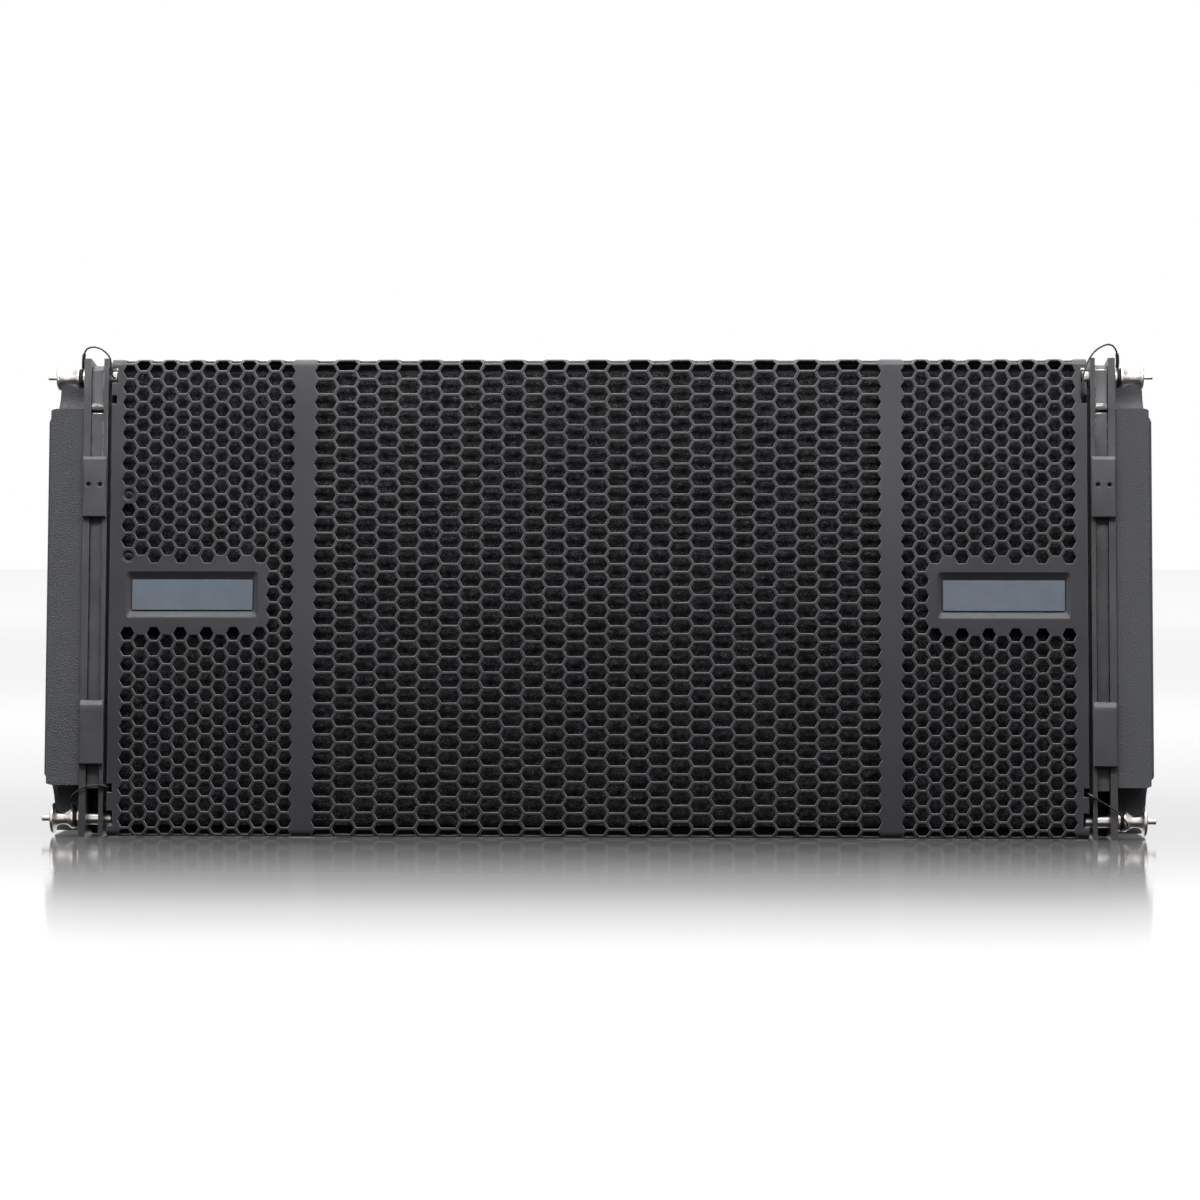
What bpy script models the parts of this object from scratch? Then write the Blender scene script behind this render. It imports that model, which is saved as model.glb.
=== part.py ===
"""Line array speaker module: a wedge cabinet with two ten-inch woofers and a
central horn behind a perforated grille, with front and rear rigging, an
amplifier on the back and recessed carrying handles in the side panels.

Everything is laid out square to the grille: X across, Y back from the grille's
front, Z up along the grille from its lower edge. One empty then leans the
whole module back, so that the bottom panel lies level on the floor.
"""

from math import ceil, cos, pi, radians, sin, tan

import bmesh
import bpy
from mathutils import Matrix, Vector

# ---- driving dimensions, in metres ----
WEDGE = radians(5)  # top and bottom panels each close towards the rear by this
HEIGHT = 0.3135  # along the grille
BOX_MIDDLE_Y = 0.23130  # puts the origin under the middle of the leaning box
GAP = 0.0003  # between pieces that touch

GRILLE_HALF = 0.318
GRILLE_SHEET = 0.0015
GRILLE_FOLD = 0.0045
FOLD_SHIFT = 0.0006  # keeps the leaned fold off the floor
GRILLE_DEPTH = 0.014

CABINET_HALF = 0.3365
WALL_INNER = 0.319
PLY = 0.015
BODY_FRONT = 0.0348
BODY_REAR = 0.428
BAFFLE = (0.024, 0.042)
REAR_PANEL = (0.389, 0.404)

CHANNEL = (0.3205, 0.3365)  # across, from the middle plane
CHANNEL_DEPTH = (0.001, 0.034)
CHANNEL_SLOT = (0.3235, 0.3319)
CHANNEL_WEB = 0.004

PANEL = (0.3371, 0.3585)  # side panel's base, across
PANEL_OUT = 0.3612
PANEL_FRONT = 0.004
BULGE = (0.0373, 0.2781)  # raised middle of the side panel, up the front
BULGE_EDGE = 0.007
SCOOP = 0.0238
SCOOP_RIM = 0.006  # radius that rolls the scoop over into the panel's face

PIN_Y = 0.014
PIN_TOP = 0.3020
PIN_LOW = 0.0125
PIN_R = 0.004
PIN_HOLE = 0.0043
LINK_TRAVEL = 0.0235

PIN_ROOM = 0.314  # the panels' front corners stop here, inside the pins' tips

WOOFER_X = 0.188
MID_Z = HEIGHT / 2
WOOFER_HOLE = 0.1165

REAR_AXIS_Y = 0.424  # splay arm pivot and rear pins
ARM_PIVOT_Z = 0.250
REAR_PIN_Z = (0.0890, 0.0645)
REAR_SLOT = 0.0064
REAR_WALL = 0.005
CONTROL = (0.030, 0.290, 0.075, 0.235)  # plate: low and high X, low and high Z

CUP_Y = (0.185, 0.305)
CUP_Z = (0.105, 0.185, 0.207)  # floor, lower edge of the grip lip, roof behind the lip
CUP_FLOOR = 0.326
CUP_WALL = 0.003
LIP_BACK = 0.348

BADGE = (0.2639, 0.1580)  # centre of each badge recess
BADGE_MOUTH = (0.0857, 0.0295)
BADGE_PLATE = (0.079, 0.020)
LANYARD_HOLES = {
    ("left", "top"): 0.2860, ("right", "top"): 0.2860,
    ("left", "low"): 0.0321, ("right", "low"): 0.0307,
}

# Knobs: radius of the outer flange, the inner rim, the waist and the button.
KNOBS = {"small": (0.0080, 0.0069, 0.0046, 0.0014), "large": (0.0099, 0.0068, 0.0038, 0.0019)}
KNOB_BORE = 0.0023
PIN_FOOT = 0.3158
BUTTON_IN, BUTTON_OUT = 0.3502, 0.3625

# Each route runs from the pin's ring to its hole in the grille's edge: X from the middle plane, Y, Z.
LANYARDS = {
    ("left", "top"): [
        (0.3394, 0.0140, 0.3090), (0.3388, 0.0098, 0.3124), (0.3372, 0.0044, 0.3170),
        (0.3347, 0.0012, 0.3199), (0.3295, 0.0004, 0.3207), (0.3238, 0.0003, 0.3183),
        (0.3196, 0.0006, 0.3133), (0.3192, 0.0014, 0.3079), (0.3187, 0.0022, 0.3027),
        (0.3166, 0.0032, 0.3001),
    ],
    ("right", "top"): [
        (0.3394, 0.0140, 0.3090), (0.3392, 0.0094, 0.3122), (0.3378, 0.0038, 0.3179),
        (0.3345, 0.0008, 0.3215), (0.3303, 0.0003, 0.3216), (0.3240, 0.0000, 0.3179),
        (0.3197, -0.0006, 0.3123), (0.3170, -0.0012, 0.3057), (0.3156, -0.0013, 0.3002),
        (0.3152, -0.0013, 0.2922), (0.3155, -0.0009, 0.2879), (0.3160, 0.0024, 0.2856),
    ],
    ("left", "low"): [
        (0.3398, 0.0086, 0.0184), (0.3408, 0.0056, 0.0209), (0.3418, 0.0028, 0.0239),
        (0.3402, 0.0004, 0.0273), (0.3356, -0.0006, 0.0309), (0.3311, -0.0008, 0.0331),
        (0.3240, -0.0007, 0.0337), (0.3193, -0.0004, 0.0331), (0.3166, 0.0024, 0.0321),
    ],
    ("right", "low"): [
        (0.3430, 0.0074, 0.0077), (0.3430, 0.0040, 0.0091), (0.3418, 0.0012, 0.0119),
        (0.3370, -0.0008, 0.0173), (0.3318, -0.0010, 0.0213), (0.3245, -0.0010, 0.0255),
        (0.3193, -0.0006, 0.0289), (0.3166, 0.0024, 0.0307),
    ],
}
LANYARD = 0.0012  # diameter
LANYARD_STEP = 0.0028

LINK = (0.3238, 0.3316)
LINK_DEPTH = (0.003, 0.027)
LINK_ENDS = (0.0317, 0.3092)
CATCH = (0.2775, 0.2793, 0.2832)  # its slot's and its own lower edge, and its upper edge
SLIDER = (0.2087, 0.2487)
KEEPER = (0.0472, 0.0894)
PLATE_FRONT = -0.0022  # the slide grips' and keepers' front face
GRIP_SCREWS = (0.32475, 0.33225, 0.2299)  # two across, and up

PLATE_BACK = REAR_PANEL[1] + GAP
PLATE_FACE = PLATE_BACK + 0.0025
SOCKETS = {
    "power_in_socket": (0.065, 0.120, "power_blue"),
    "power_out_socket": (0.110, 0.120, "power_grey"),
    "signal_in_socket": (0.170, 0.120, "socket_plastic"),
    "signal_out_socket": (0.215, 0.120, "socket_plastic"),
}
SELECTORS = {"splay_selector": (0.170, 0.190), "preset_selector": (0.215, 0.190)}
RESET = (0.255, 0.190)

SIDES = {"left": -1, "right": 1}

for old in list(bpy.data.objects):
    bpy.data.objects.remove(old)
parts = bpy.data.collections.new("line_array_speaker")
cutters = bpy.data.collections.new("cutters")
for collection in (parts, cutters):
    bpy.context.scene.collection.children.link(collection)

# ---- materials: colour, roughness, metallic ----
FINISHES = {
    "birch_ply_black": ((0.020, 0.020, 0.022), 0.75, 0.0),
    "grained_plastic": ((0.075, 0.078, 0.090), 0.62, 0.0),
    "powder_coated_steel": ((0.060, 0.061, 0.067), 0.50, 0.0),
    "rigging_steel": ((0.050, 0.050, 0.055), 0.42, 0.3),
    "acoustic_foam": ((0.008, 0.008, 0.009), 0.95, 0.0),
    "badge_metal": ((0.130, 0.155, 0.190), 0.35, 0.6),
    "nickel_steel": ((0.720, 0.690, 0.640), 0.22, 1.0),
    "lanyard_sleeve": ((0.030, 0.030, 0.032), 0.45, 0.0),
    "cast_basket": ((0.090, 0.090, 0.095), 0.55, 0.8),
    "paper_cone": ((0.015, 0.015, 0.016), 0.85, 0.0),
    "butyl_rubber": ((0.012, 0.012, 0.012), 0.70, 0.0),
    "ferrite": ((0.060, 0.060, 0.062), 0.60, 0.4),
    "horn_plastic": ((0.015, 0.015, 0.016), 0.50, 0.0),
    "black_aluminium": ((0.030, 0.030, 0.032), 0.45, 0.7),
    "circuit_board": ((0.020, 0.110, 0.050), 0.45, 0.0),
    "socket_plastic": ((0.018, 0.018, 0.020), 0.40, 0.0),
    "power_blue": ((0.030, 0.090, 0.330), 0.40, 0.0),
    "power_grey": ((0.420, 0.430, 0.440), 0.45, 0.0),
}


def material(name):
    found = bpy.data.materials.get(name)
    if found:
        return found
    colour, rough, metal = FINISHES[name]
    made = bpy.data.materials.new(name)
    made.use_nodes = True
    shader = made.node_tree.nodes["Principled BSDF"]
    shader.inputs["Base Color"].default_value = (*colour, 1)
    shader.inputs["Roughness"].default_value = rough
    shader.inputs["Metallic"].default_value = metal
    return made


# ---- modelling helpers ----
def add(name, mesh, finish=None):
    """A new object: a part with its finish, or without one a cutter."""
    thing = bpy.data.objects.new(name, mesh)
    if finish:
        mesh.materials.append(material(finish))
        parts.objects.link(thing)
    else:
        cutters.objects.link(thing)
        thing.hide_render = True
        thing.display_type = "WIRE"
    return thing


def box(name, low, high, finish=None, far_scale=None):
    """A box between two corners; far_scale shrinks its back face in X and Z."""
    shape = bmesh.new()
    bmesh.ops.create_cube(shape, size=1)
    if far_scale:
        back = [v for v in shape.verts if v.co.y > 0]
        bmesh.ops.scale(shape, vec=(far_scale[0], 1, far_scale[1]), verts=back)
    size = Vector(high) - Vector(low)
    bmesh.ops.scale(shape, vec=size, verts=shape.verts)
    mesh = bpy.data.meshes.new(name)
    shape.to_mesh(mesh)
    shape.free()
    made = add(name, mesh, finish)
    made.location = (Vector(high) + Vector(low)) / 2
    return made


ACROSS = Matrix(((0, 0, 1), (1, 0, 0), (0, 1, 0))).to_4x4()  # outline in Y and Z, thickness in X
UPRIGHT = Matrix(((1, 0, 0), (0, 1, 0), (0, 0, 1))).to_4x4()  # outline in X and Y, thickness in Z


def prism(name, outline, low, high, finish=None, turn=ACROSS):
    """A flat outline given thickness from low to high."""
    flat = bpy.data.curves.new(name, "CURVE")
    flat.dimensions = "2D"
    flat.fill_mode = "BOTH"
    flat.extrude = (high - low) / 2
    line = flat.splines.new("POLY")
    line.points.add(len(outline) - 1)
    for point, (a, b) in zip(line.points, outline):
        point.co = (a, b, 0, 1)
    line.use_cyclic_u = True
    guide = bpy.data.objects.new(name, flat)
    cutters.objects.link(guide)
    bpy.context.view_layer.update()
    drawn = guide.evaluated_get(bpy.context.evaluated_depsgraph_get())
    mesh = bpy.data.meshes.new_from_object(drawn)
    bpy.data.objects.remove(guide)
    shape = bmesh.new()
    shape.from_mesh(mesh)
    bmesh.ops.remove_doubles(shape, verts=shape.verts, dist=0.000001)
    bmesh.ops.recalc_face_normals(shape, faces=shape.faces)
    shape.to_mesh(mesh)
    shape.free()
    mesh.materials.clear()
    made = add(name, mesh, finish)
    shift = Matrix.Translation((0, 0, (high + low) / 2))
    made.matrix_world = turn @ shift
    return made


def turned(name, profile, finish=None, steps=16):
    """A profile of (radius, height) spun about its own Z."""
    mesh = bpy.data.meshes.new(name)
    shape = bmesh.new()
    ring = [shape.verts.new((r, 0, z)) for r, z in profile]
    for a, b in zip(ring, ring[1:]):
        shape.edges.new((a, b))
    if profile[0][0] > 0:
        shape.edges.new((ring[-1], ring[0]))
    shape.to_mesh(mesh)
    shape.free()
    made = add(name, mesh, finish)
    spin = made.modifiers.new("spin", "SCREW")
    spin.steps = steps
    spin.render_steps = steps
    spin.use_merge_vertices = True
    spin.merge_threshold = 0.00001
    spin.use_smooth_shade = True
    return made


def cut(part, *tools, how="DIFFERENCE"):
    for tool in tools:
        step = part.modifiers.new(how.lower(), "BOOLEAN")
        step.operation = how
        step.object = tool


def rod(name, radius, low, high, y, z, steps=24):
    """A cutter along X."""
    made = turned(name, [(0, high - low), (radius, high - low), (radius, 0), (0, 0)], steps=steps)
    made.location = (low, y, z)
    made.rotation_euler = (0, pi / 2, 0)
    return made


def round_edges(part, width, segments=2):
    soft = part.modifiers.new("round", "BEVEL")
    soft.width = width
    soft.segments = segments
    soft.limit_method = "ANGLE"
    soft.angle_limit = radians(35)


def slope(y, inset=0.0):
    """Height of the bottom panel's outer plane at depth y, moved inwards by inset."""
    return y * tan(WEDGE) + inset / cos(WEDGE)


def wedge(front, rear, inset):
    """Side view between the bottom and top planes, both moved in by inset."""
    return [
        (front, slope(front, inset)),
        (rear, slope(rear, inset)),
        (rear, HEIGHT - slope(rear, inset)),
        (front, HEIGHT - slope(front, inset)),
    ]


def arc(centre_y, centre_z, radius, start, end, count):
    """Points of an arc in the side view, angles in degrees from +Y towards +Z."""
    turns = [radians(start + (end - start) * i / (count - 1)) for i in range(count)]
    return [(centre_y + radius * cos(t), centre_z + radius * sin(t)) for t in turns]


def mirror_box(name, side, low, high, finish=None):
    """A box given on the right, placed on the side's own half."""
    ends = sorted((side * low[0], side * high[0]))
    return box(name, (ends[0], *low[1:]), (ends[1], *high[1:]), finish)


# ---- cabinet panels ----
def cabinet():
    for name, flip in (("bottom_panel", False), ("top_panel", True)):
        front = GRILLE_DEPTH + GAP
        outline = [
            (front, slope(front)),
            (BODY_REAR, slope(BODY_REAR)),
            (BODY_REAR, slope(BODY_REAR, PLY)),
            (front, slope(front, PLY)),
        ]
        if flip:
            outline = [(y, HEIGHT - z) for y, z in reversed(outline)]
        panel = prism(name, outline, -CABINET_HALF, CABINET_HALF, "birch_ply_black")
        for side in SIDES.values():
            corner = mirror_box(
                f"{name}_corner", side, (PIN_ROOM, 0, -0.05), (0.35, BODY_FRONT, HEIGHT + 0.05)
            )
            cut(panel, corner)
        notch = REAR_SLOT + REAR_WALL + 0.0008
        cut(
            panel,
            box(
                f"{name}_rear_notch",
                (-notch, REAR_PANEL[1], -0.05),
                (notch, 0.45, HEIGHT + 0.05),
            ),
        )
    for word, side in SIDES.items():
        ends = sorted((side * WALL_INNER, side * CABINET_HALF))
        wall = prism(
            f"side_wall_{word}", wedge(BODY_FRONT, BODY_REAR, PLY + GAP), *ends, "birch_ply_black"
        )
        hole = mirror_box(
            f"handle_hole_{word}", side, (0.30, CUP_Y[0] - 0.0034, CUP_Z[0] - 0.0034),
            (0.35, CUP_Y[1] + 0.0034, CUP_Z[2] + 0.0034),
        )
        cut(wall, hole)
    low = slope(REAR_PANEL[1], PLY) + GAP
    inner = WALL_INNER - 0.0008
    rear = box(
        "rear_panel", (-inner, REAR_PANEL[0], low), (inner, REAR_PANEL[1], HEIGHT - low),
        "birch_ply_black",
    )
    for side in SIDES.values():
        window = mirror_box("amp_window", side, (0.045, 0.38, 0.090), (0.275, 0.41, 0.220))
        cut(rear, window)
    low = slope(BAFFLE[1], PLY) + GAP
    baffle = box(
        "front_baffle", (-inner, BAFFLE[0], low), (inner, BAFFLE[1], HEIGHT - low),
        "birch_ply_black",
    )
    cut(baffle, box("horn_slot", (-0.0505, 0.01, 0.030), (0.0505, 0.06, 0.280)))
    for side in SIDES.values():
        hole = turned(
            "woofer_hole", [(0, 0.03), (WOOFER_HOLE, 0.03), (WOOFER_HOLE, -0.03), (0, -0.03)], steps=40
        )
        hole.location = (side * WOOFER_X, BAFFLE[0], MID_Z)
        hole.rotation_euler = (pi / 2, 0, 0)
        cut(baffle, hole)


# ---- side panels with recessed handles ----
def side_panels():
    for word, side in SIDES.items():
        ends = sorted((side * PANEL[0], side * PANEL[1]))
        panel = prism(
            f"side_panel_{word}", wedge(PANEL_FRONT, BODY_REAR, 0.0016), *ends, "grained_plastic"
        )
        fall = BODY_REAR * tan(WEDGE)
        outline = [
            (PANEL_FRONT, BULGE[0]),
            (BODY_REAR, BULGE[0] + fall),
            (BODY_REAR, BULGE[1] - fall),
            (PANEL_FRONT, BULGE[1]),
        ]
        ends = sorted((side * (PANEL[0] + 0.002), side * PANEL_OUT))
        bulge = prism("bulge", outline, *ends)
        round_edges(bulge, BULGE_EDGE, 3)
        cup = mirror_box(
            "cup", side, (CUP_FLOOR - CUP_WALL, CUP_Y[0] - CUP_WALL, CUP_Z[0] - CUP_WALL),
            (PANEL[0] + 0.004, CUP_Y[1] + CUP_WALL, CUP_Z[2] + CUP_WALL),
        )
        cut(panel, bulge, cup, how="UNION")
        mouth = mirror_box(
            "cup_mouth", side, (CUP_FLOOR, CUP_Y[0], CUP_Z[0]), (0.37, CUP_Y[1], CUP_Z[1])
        )
        fingers = mirror_box(
            "cup_fingers", side, (CUP_FLOOR, CUP_Y[0], CUP_Z[0] + 0.01), (LIP_BACK, CUP_Y[1], CUP_Z[2])
        )
        cut(panel, mouth, fingers)
        for z, away in ((PIN_TOP, 1), (PIN_LOW, -1)):
            outline = arc(PIN_Y, z, SCOOP, 0, -180 * away, 17)
            outline += [(PIN_Y - SCOOP, z + away * 0.05), (PIN_Y + SCOOP, z + away * 0.05)]
            cut(panel, prism("scoop", outline, *sorted((side * 0.33, side * 0.37))))
            wide, start = SCOOP + SCOOP_RIM, PANEL_OUT - SCOOP_RIM
            profile = [(0, SCOOP_RIM + 0.002), (wide, SCOOP_RIM + 0.002)]
            profile += arc(wide, 0, SCOOP_RIM, 90, 180, 5) + [(0, 0)]
            rim = turned("scoop_rim", profile, steps=40)
            rim.location = (side * start, PIN_Y, z)
            rim.rotation_euler = (0, side * pi / 2, 0)
            cut(panel, rim)


# ---- grille, foam and badges ----
def sheet_line(offset):
    """Side view of the folded sheet, offset inwards from its outer face."""
    radius = GRILLE_FOLD - offset
    end = slope(GRILLE_DEPTH, offset + GAP)
    centre = GRILLE_FOLD + FOLD_SHIFT
    return (
        [(GRILLE_DEPTH, end)]
        + arc(GRILLE_FOLD, centre, radius, -85, -180, 7)
        + arc(GRILLE_FOLD, HEIGHT - centre, radius, 180, 85, 7)
        + [(GRILLE_DEPTH, HEIGHT - end)]
    )


def grille():
    outline = sheet_line(0) + sheet_line(GRILLE_SHEET)[::-1]
    panel = prism("front_grille", outline, -GRILLE_HALF, GRILLE_HALF, "powder_coated_steel")
    for side in SIDES.values():
        low = (GRILLE_HALF - GRILLE_SHEET, 0.0007, 0.0075)
        high = (GRILLE_HALF, GRILLE_DEPTH, HEIGHT - 0.0075)
        cut(panel, mirror_box("side_fold", side, low, high), how="UNION")
        low = (BADGE[0] - 0.0440, 0.0007, BADGE[1] - 0.0160)
        high = (BADGE[0] + 0.0440, 0.0050, BADGE[1] + 0.0160)
        cut(panel, mirror_box("badge_tray", side, low, high), how="UNION")
    for word, side in SIDES.items():
        half_x, half_z = BADGE_MOUTH[0] / 2, BADGE_MOUTH[1] / 2
        x = side * BADGE[0]
        low = (x - half_x * 1.02, -0.001, BADGE[1] - half_z * 1.06)
        high = (x + half_x * 1.02, 0.0035, BADGE[1] + half_z * 1.06)
        cut(panel, box("badge_pocket", low, high, far_scale=(0.935, 0.80)))
        half_x, half_z = BADGE_PLATE[0] / 2, BADGE_PLATE[1] / 2
        plate = box(
            f"badge_plate_{word}", (x - half_x, 0.0020, BADGE[1] - half_z),
            (x + half_x, 0.0035 - GAP, BADGE[1] + half_z), "badge_metal",
        )
        round_edges(plate, 0.0004, 1)
        for z in (PIN_TOP, PIN_LOW):
            notch = mirror_box("pin_notch", side, (0.3142, -0.001, z - 0.0047), (0.32, 0.019, z + 0.0047))
            cut(panel, notch)
        for (hole_side, _), z in LANYARD_HOLES.items():
            if hole_side == word:
                notch = mirror_box(
                    "lanyard_notch", side, (0.3146, -0.001, z - 0.0026), (0.32, 0.008, z + 0.0026)
                )
                cut(panel, notch)
    box("acoustic_foam", (-0.312, 0.0065, 0.0085), (0.312, 0.012, 0.3035), "acoustic_foam")


# ---- woofers ----
def face_front(part, x, y, z):
    part.location = (x, y, z)
    part.rotation_euler = (pi / 2, 0, 0)


def woofers():
    basket = [
        (0.127, 0.0055), (0.127, 0), (0.115, 0), (0.111, -0.014), (0.072, -0.074), (0.072, -0.084),
        (0.050, -0.084), (0.050, -0.080), (0.066, -0.073), (0.106, -0.012), (0.1095, 0.0025),
        (0.1120, 0.0055),
    ]
    cone = [
        (0, -0.028), (0.013, -0.0305), (0.024, -0.037), (0.0975, 0.0010), (0.0980, 0.0002),
        (0.0262, -0.0420), (0.0262, -0.090), (0.0248, -0.090), (0.0248, -0.041), (0.013, -0.0335),
        (0, -0.031),
    ]
    magnet = [
        (0, -0.0843), (0.0234, -0.0843), (0.0234, -0.100), (0.0276, -0.100), (0.0276, -0.0843),
        (0.060, -0.0843), (0.060, -0.092), (0.070, -0.092), (0.070, -0.112), (0.060, -0.112),
        (0.060, -0.120), (0, -0.120),
    ]
    roll = [(0.1035 + r, 0.0006 + z) for r, z in arc(0, 0, 0.0052, 180, 0, 5)]
    under = [(0.1035 + r, 0.0006 + z) for r, z in arc(0, 0, 0.0042, 0, 180, 5)]
    surround = roll + under
    for word, side in SIDES.items():
        place = (side * WOOFER_X, BAFFLE[0] - GAP, MID_Z)
        frame = turned(f"woofer_basket_{word}", basket, "cast_basket", 30)
        face_front(frame, *place)
        for turn in range(3):
            window = box("basket_window", (-0.020, -0.13, -0.016), (0.020, 0.13, 0.016))
            window.location = (place[0], place[1] + 0.045, place[2])
            window.rotation_euler = (pi / 2, turn * pi / 3, 0)
            cut(frame, window)
        face_front(turned(f"woofer_cone_{word}", cone, "paper_cone", 30), *place)
        face_front(turned(f"woofer_surround_{word}", surround, "butyl_rubber", 30), *place)
        face_front(turned(f"woofer_magnet_{word}", magnet, "ferrite", 24), *place)


# ---- horn and compression driver ----
def horn():
    flare = box(
        "horn_waveguide", (-0.048, 0.020, 0.034), (0.048, 0.180, 0.278), "horn_plastic", (0.55, 0.32)
    )
    flange = box("horn_flange", (-0.058, 0.0182, 0.027), (0.058, BAFFLE[0] - GAP, 0.285))
    cut(flare, flange, how="UNION")
    cut(flare, box("horn_throat", (-0.044, 0.015, 0.038), (0.044, 0.185, 0.274), None, (0.26, 0.11)))
    driver = turned(
        "compression_driver",
        [(0, 0), (0.036, 0), (0.036, -0.008), (0.062, -0.010), (0.062, -0.040), (0.050, -0.052),
         (0, -0.052)],
        "ferrite", 24,
    )
    face_front(driver, 0, 0.180 + GAP, MID_Z)


# ---- ball-lock pins ----
def knob_profile(size):
    """The knob and washer of a pin: radius, and height from the middle plane outwards."""
    flange, rim, waist, _ = KNOBS[size]
    return [
        (0, 0.3470), (KNOB_BORE, 0.3470), (KNOB_BORE, 0.3560), (flange - 0.0004, 0.3560),
        (flange, 0.3553), (flange - 0.0004, 0.3544), (waist + 0.0014, 0.3532), (waist, 0.3505),
        (waist, 0.3470), (waist + 0.0008, 0.3440), (rim, 0.3413), (rim, 0.3405),
        (PIN_R + 0.0006, 0.3402), (PIN_R + 0.0006, 0.3386), (0.0062, 0.3384), (0.0062, 0.3373),
        (PIN_R, 0.3373),
    ]


def lock_pin(name, size, shift, side, y, z, foot=PIN_FOOT):
    """A pull pin across X with its release button; shift slides its knob, foot is its tip."""
    profile = [(radius, height + shift - foot) for radius, height in knob_profile(size)]
    profile += [(PIN_R, 0.0010), (0.0030, 0), (0, 0)]
    pin = turned(name, profile, "nickel_steel", 14)
    length = BUTTON_OUT - BUTTON_IN
    radius = KNOBS[size][3]
    push = [
        (0, length), (radius - 0.0004, length), (radius, length - 0.0005), (radius, 0), (0, 0),
    ]
    button = turned(f"{name}_button", push, "nickel_steel", 12)
    for part, start in ((pin, foot), (button, BUTTON_IN + shift)):
        part.location = (side * start, y, z)
        part.rotation_euler = (0, side * pi / 2, 0)


# ---- lanyards ----
def smooth_route(points, step):
    """Evenly spaced points of a Catmull-Rom curve through a route."""
    line = [Vector(p) for p in points]
    line = [2 * line[0] - line[1]] + line + [2 * line[-1] - line[-2]]
    fine = []
    for p0, p1, p2, p3 in zip(line, line[1:], line[2:], line[3:]):
        for i in range(12):
            t = i / 12
            fine.append(
                0.5 * (2 * p1 + (p2 - p0) * t + (2 * p0 - 5 * p1 + 4 * p2 - p3) * t**2
                       + (3 * p1 - p0 - 3 * p2 + p3) * t**3)
            )
    fine.append(line[-2])
    total = sum((b - a).length for a, b in zip(fine, fine[1:]))
    count = ceil(total / step)
    spaced, walked, goal = [fine[0]], 0.0, total / count
    for a, b in zip(fine, fine[1:]):
        span = (b - a).length
        while goal <= walked + span and len(spaced) < count:
            spaced.append(a.lerp(b, (goal - walked) / span))
            goal += total / count
        walked += span
    spaced.append(fine[-1])
    return spaced


def lanyards():
    for (word, level), route in LANYARDS.items():
        side = SIDES[word]
        wire = bpy.data.curves.new(f"lanyard_{level}_{word}", "CURVE")
        wire.dimensions = "3D"
        wire.bevel_depth = LANYARD / 2
        wire.bevel_resolution = 2
        wire.use_fill_caps = True
        points = smooth_route([(side * x, y, z) for x, y, z in route], LANYARD_STEP)
        line = wire.splines.new("POLY")
        line.points.add(len(points) - 1)
        for point, place in zip(line.points, points):
            point.co = (*place, 1)
        wire.materials.append(material("lanyard_sleeve"))
        parts.objects.link(bpy.data.objects.new(wire.name, wire))


# ---- front rigging ----
def front_rigging():
    for word, side in SIDES.items():
        ends = sorted((side * CHANNEL[0], side * CHANNEL[1]))
        rail = prism(f"front_channel_{word}", wedge(*CHANNEL_DEPTH, 0.0001), *ends, "rigging_steel")
        low = (CHANNEL_SLOT[0], -0.01, -0.02)
        high = (CHANNEL_SLOT[1], CHANNEL_DEPTH[1] - CHANNEL_WEB, HEIGHT + 0.02)
        cut(rail, mirror_box("channel_slot", side, low, high))
        for z in (PIN_TOP, PIN_LOW):
            cut(rail, rod("pin_hole", PIN_HOLE, *sorted((side * 0.31, side * 0.345)), PIN_Y, z))

        ends = sorted((side * LINK[0], side * LINK[1]))
        low, high = LINK_ENDS
        front, rear = LINK_DEPTH
        slot, ledge, brow = CATCH
        outline = [
            (front, low), (rear, low + 0.003), (rear, high - 0.0020), (front + 0.0030, high),
            (front, high - 0.0034), (front, brow), (0.0012, brow - 0.0010), (0.0012, ledge),
            (front + 0.002, ledge), (front + 0.002, slot), (front, slot),
        ]
        bar = prism(f"front_link_bar_{word}", outline, *ends, "rigging_steel")
        track = arc(PIN_Y, PIN_TOP, PIN_HOLE, 0, 180, 9)
        track += arc(PIN_Y, PIN_TOP - LINK_TRAVEL, PIN_HOLE, 180, 360, 9)
        cut(bar, prism("pin_track", track, *sorted((side * 0.32, side * 0.34))))

        low = (CHANNEL[0] + 0.0001, PLATE_FRONT, SLIDER[0])
        high = (CHANNEL[1] - 0.0001, CHANNEL_DEPTH[0] - GAP, SLIDER[1])
        slider = mirror_box(f"slide_grip_{word}", side, low, high, "rigging_steel")
        tongue = mirror_box(
            "tongue", side, (0.3255, -0.001, SLIDER[0] + 0.003),
            (0.3305, LINK_DEPTH[0] - GAP, SLIDER[1] - 0.003),
        )
        cut(slider, tongue, how="UNION")
        for x in GRIP_SCREWS[:2]:
            hole = turned(
                "screw_hole", [(0, 0.01), (0.0013, 0.01), (0.0013, -0.0003), (0, -0.0003)], steps=12
            )
            face_front(hole, side * x, 0.0, GRIP_SCREWS[2])
            cut(slider, hole)
        low = (CHANNEL[0] + 0.0001, PLATE_FRONT, KEEPER[0])
        high = (CHANNEL[1] - 0.0001, CHANNEL_DEPTH[0] - GAP, KEEPER[1])
        keeper = mirror_box(f"link_keeper_{word}", side, low, high, "rigging_steel")
        round_edges(keeper, 0.0006, 1)
        for level, z in (("top", PIN_TOP), ("low", PIN_LOW)):
            size = "small" if level == "top" else "large"
            lock_pin(f"front_pin_{level}_{word}", size, 0.0, side, PIN_Y, z)


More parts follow.
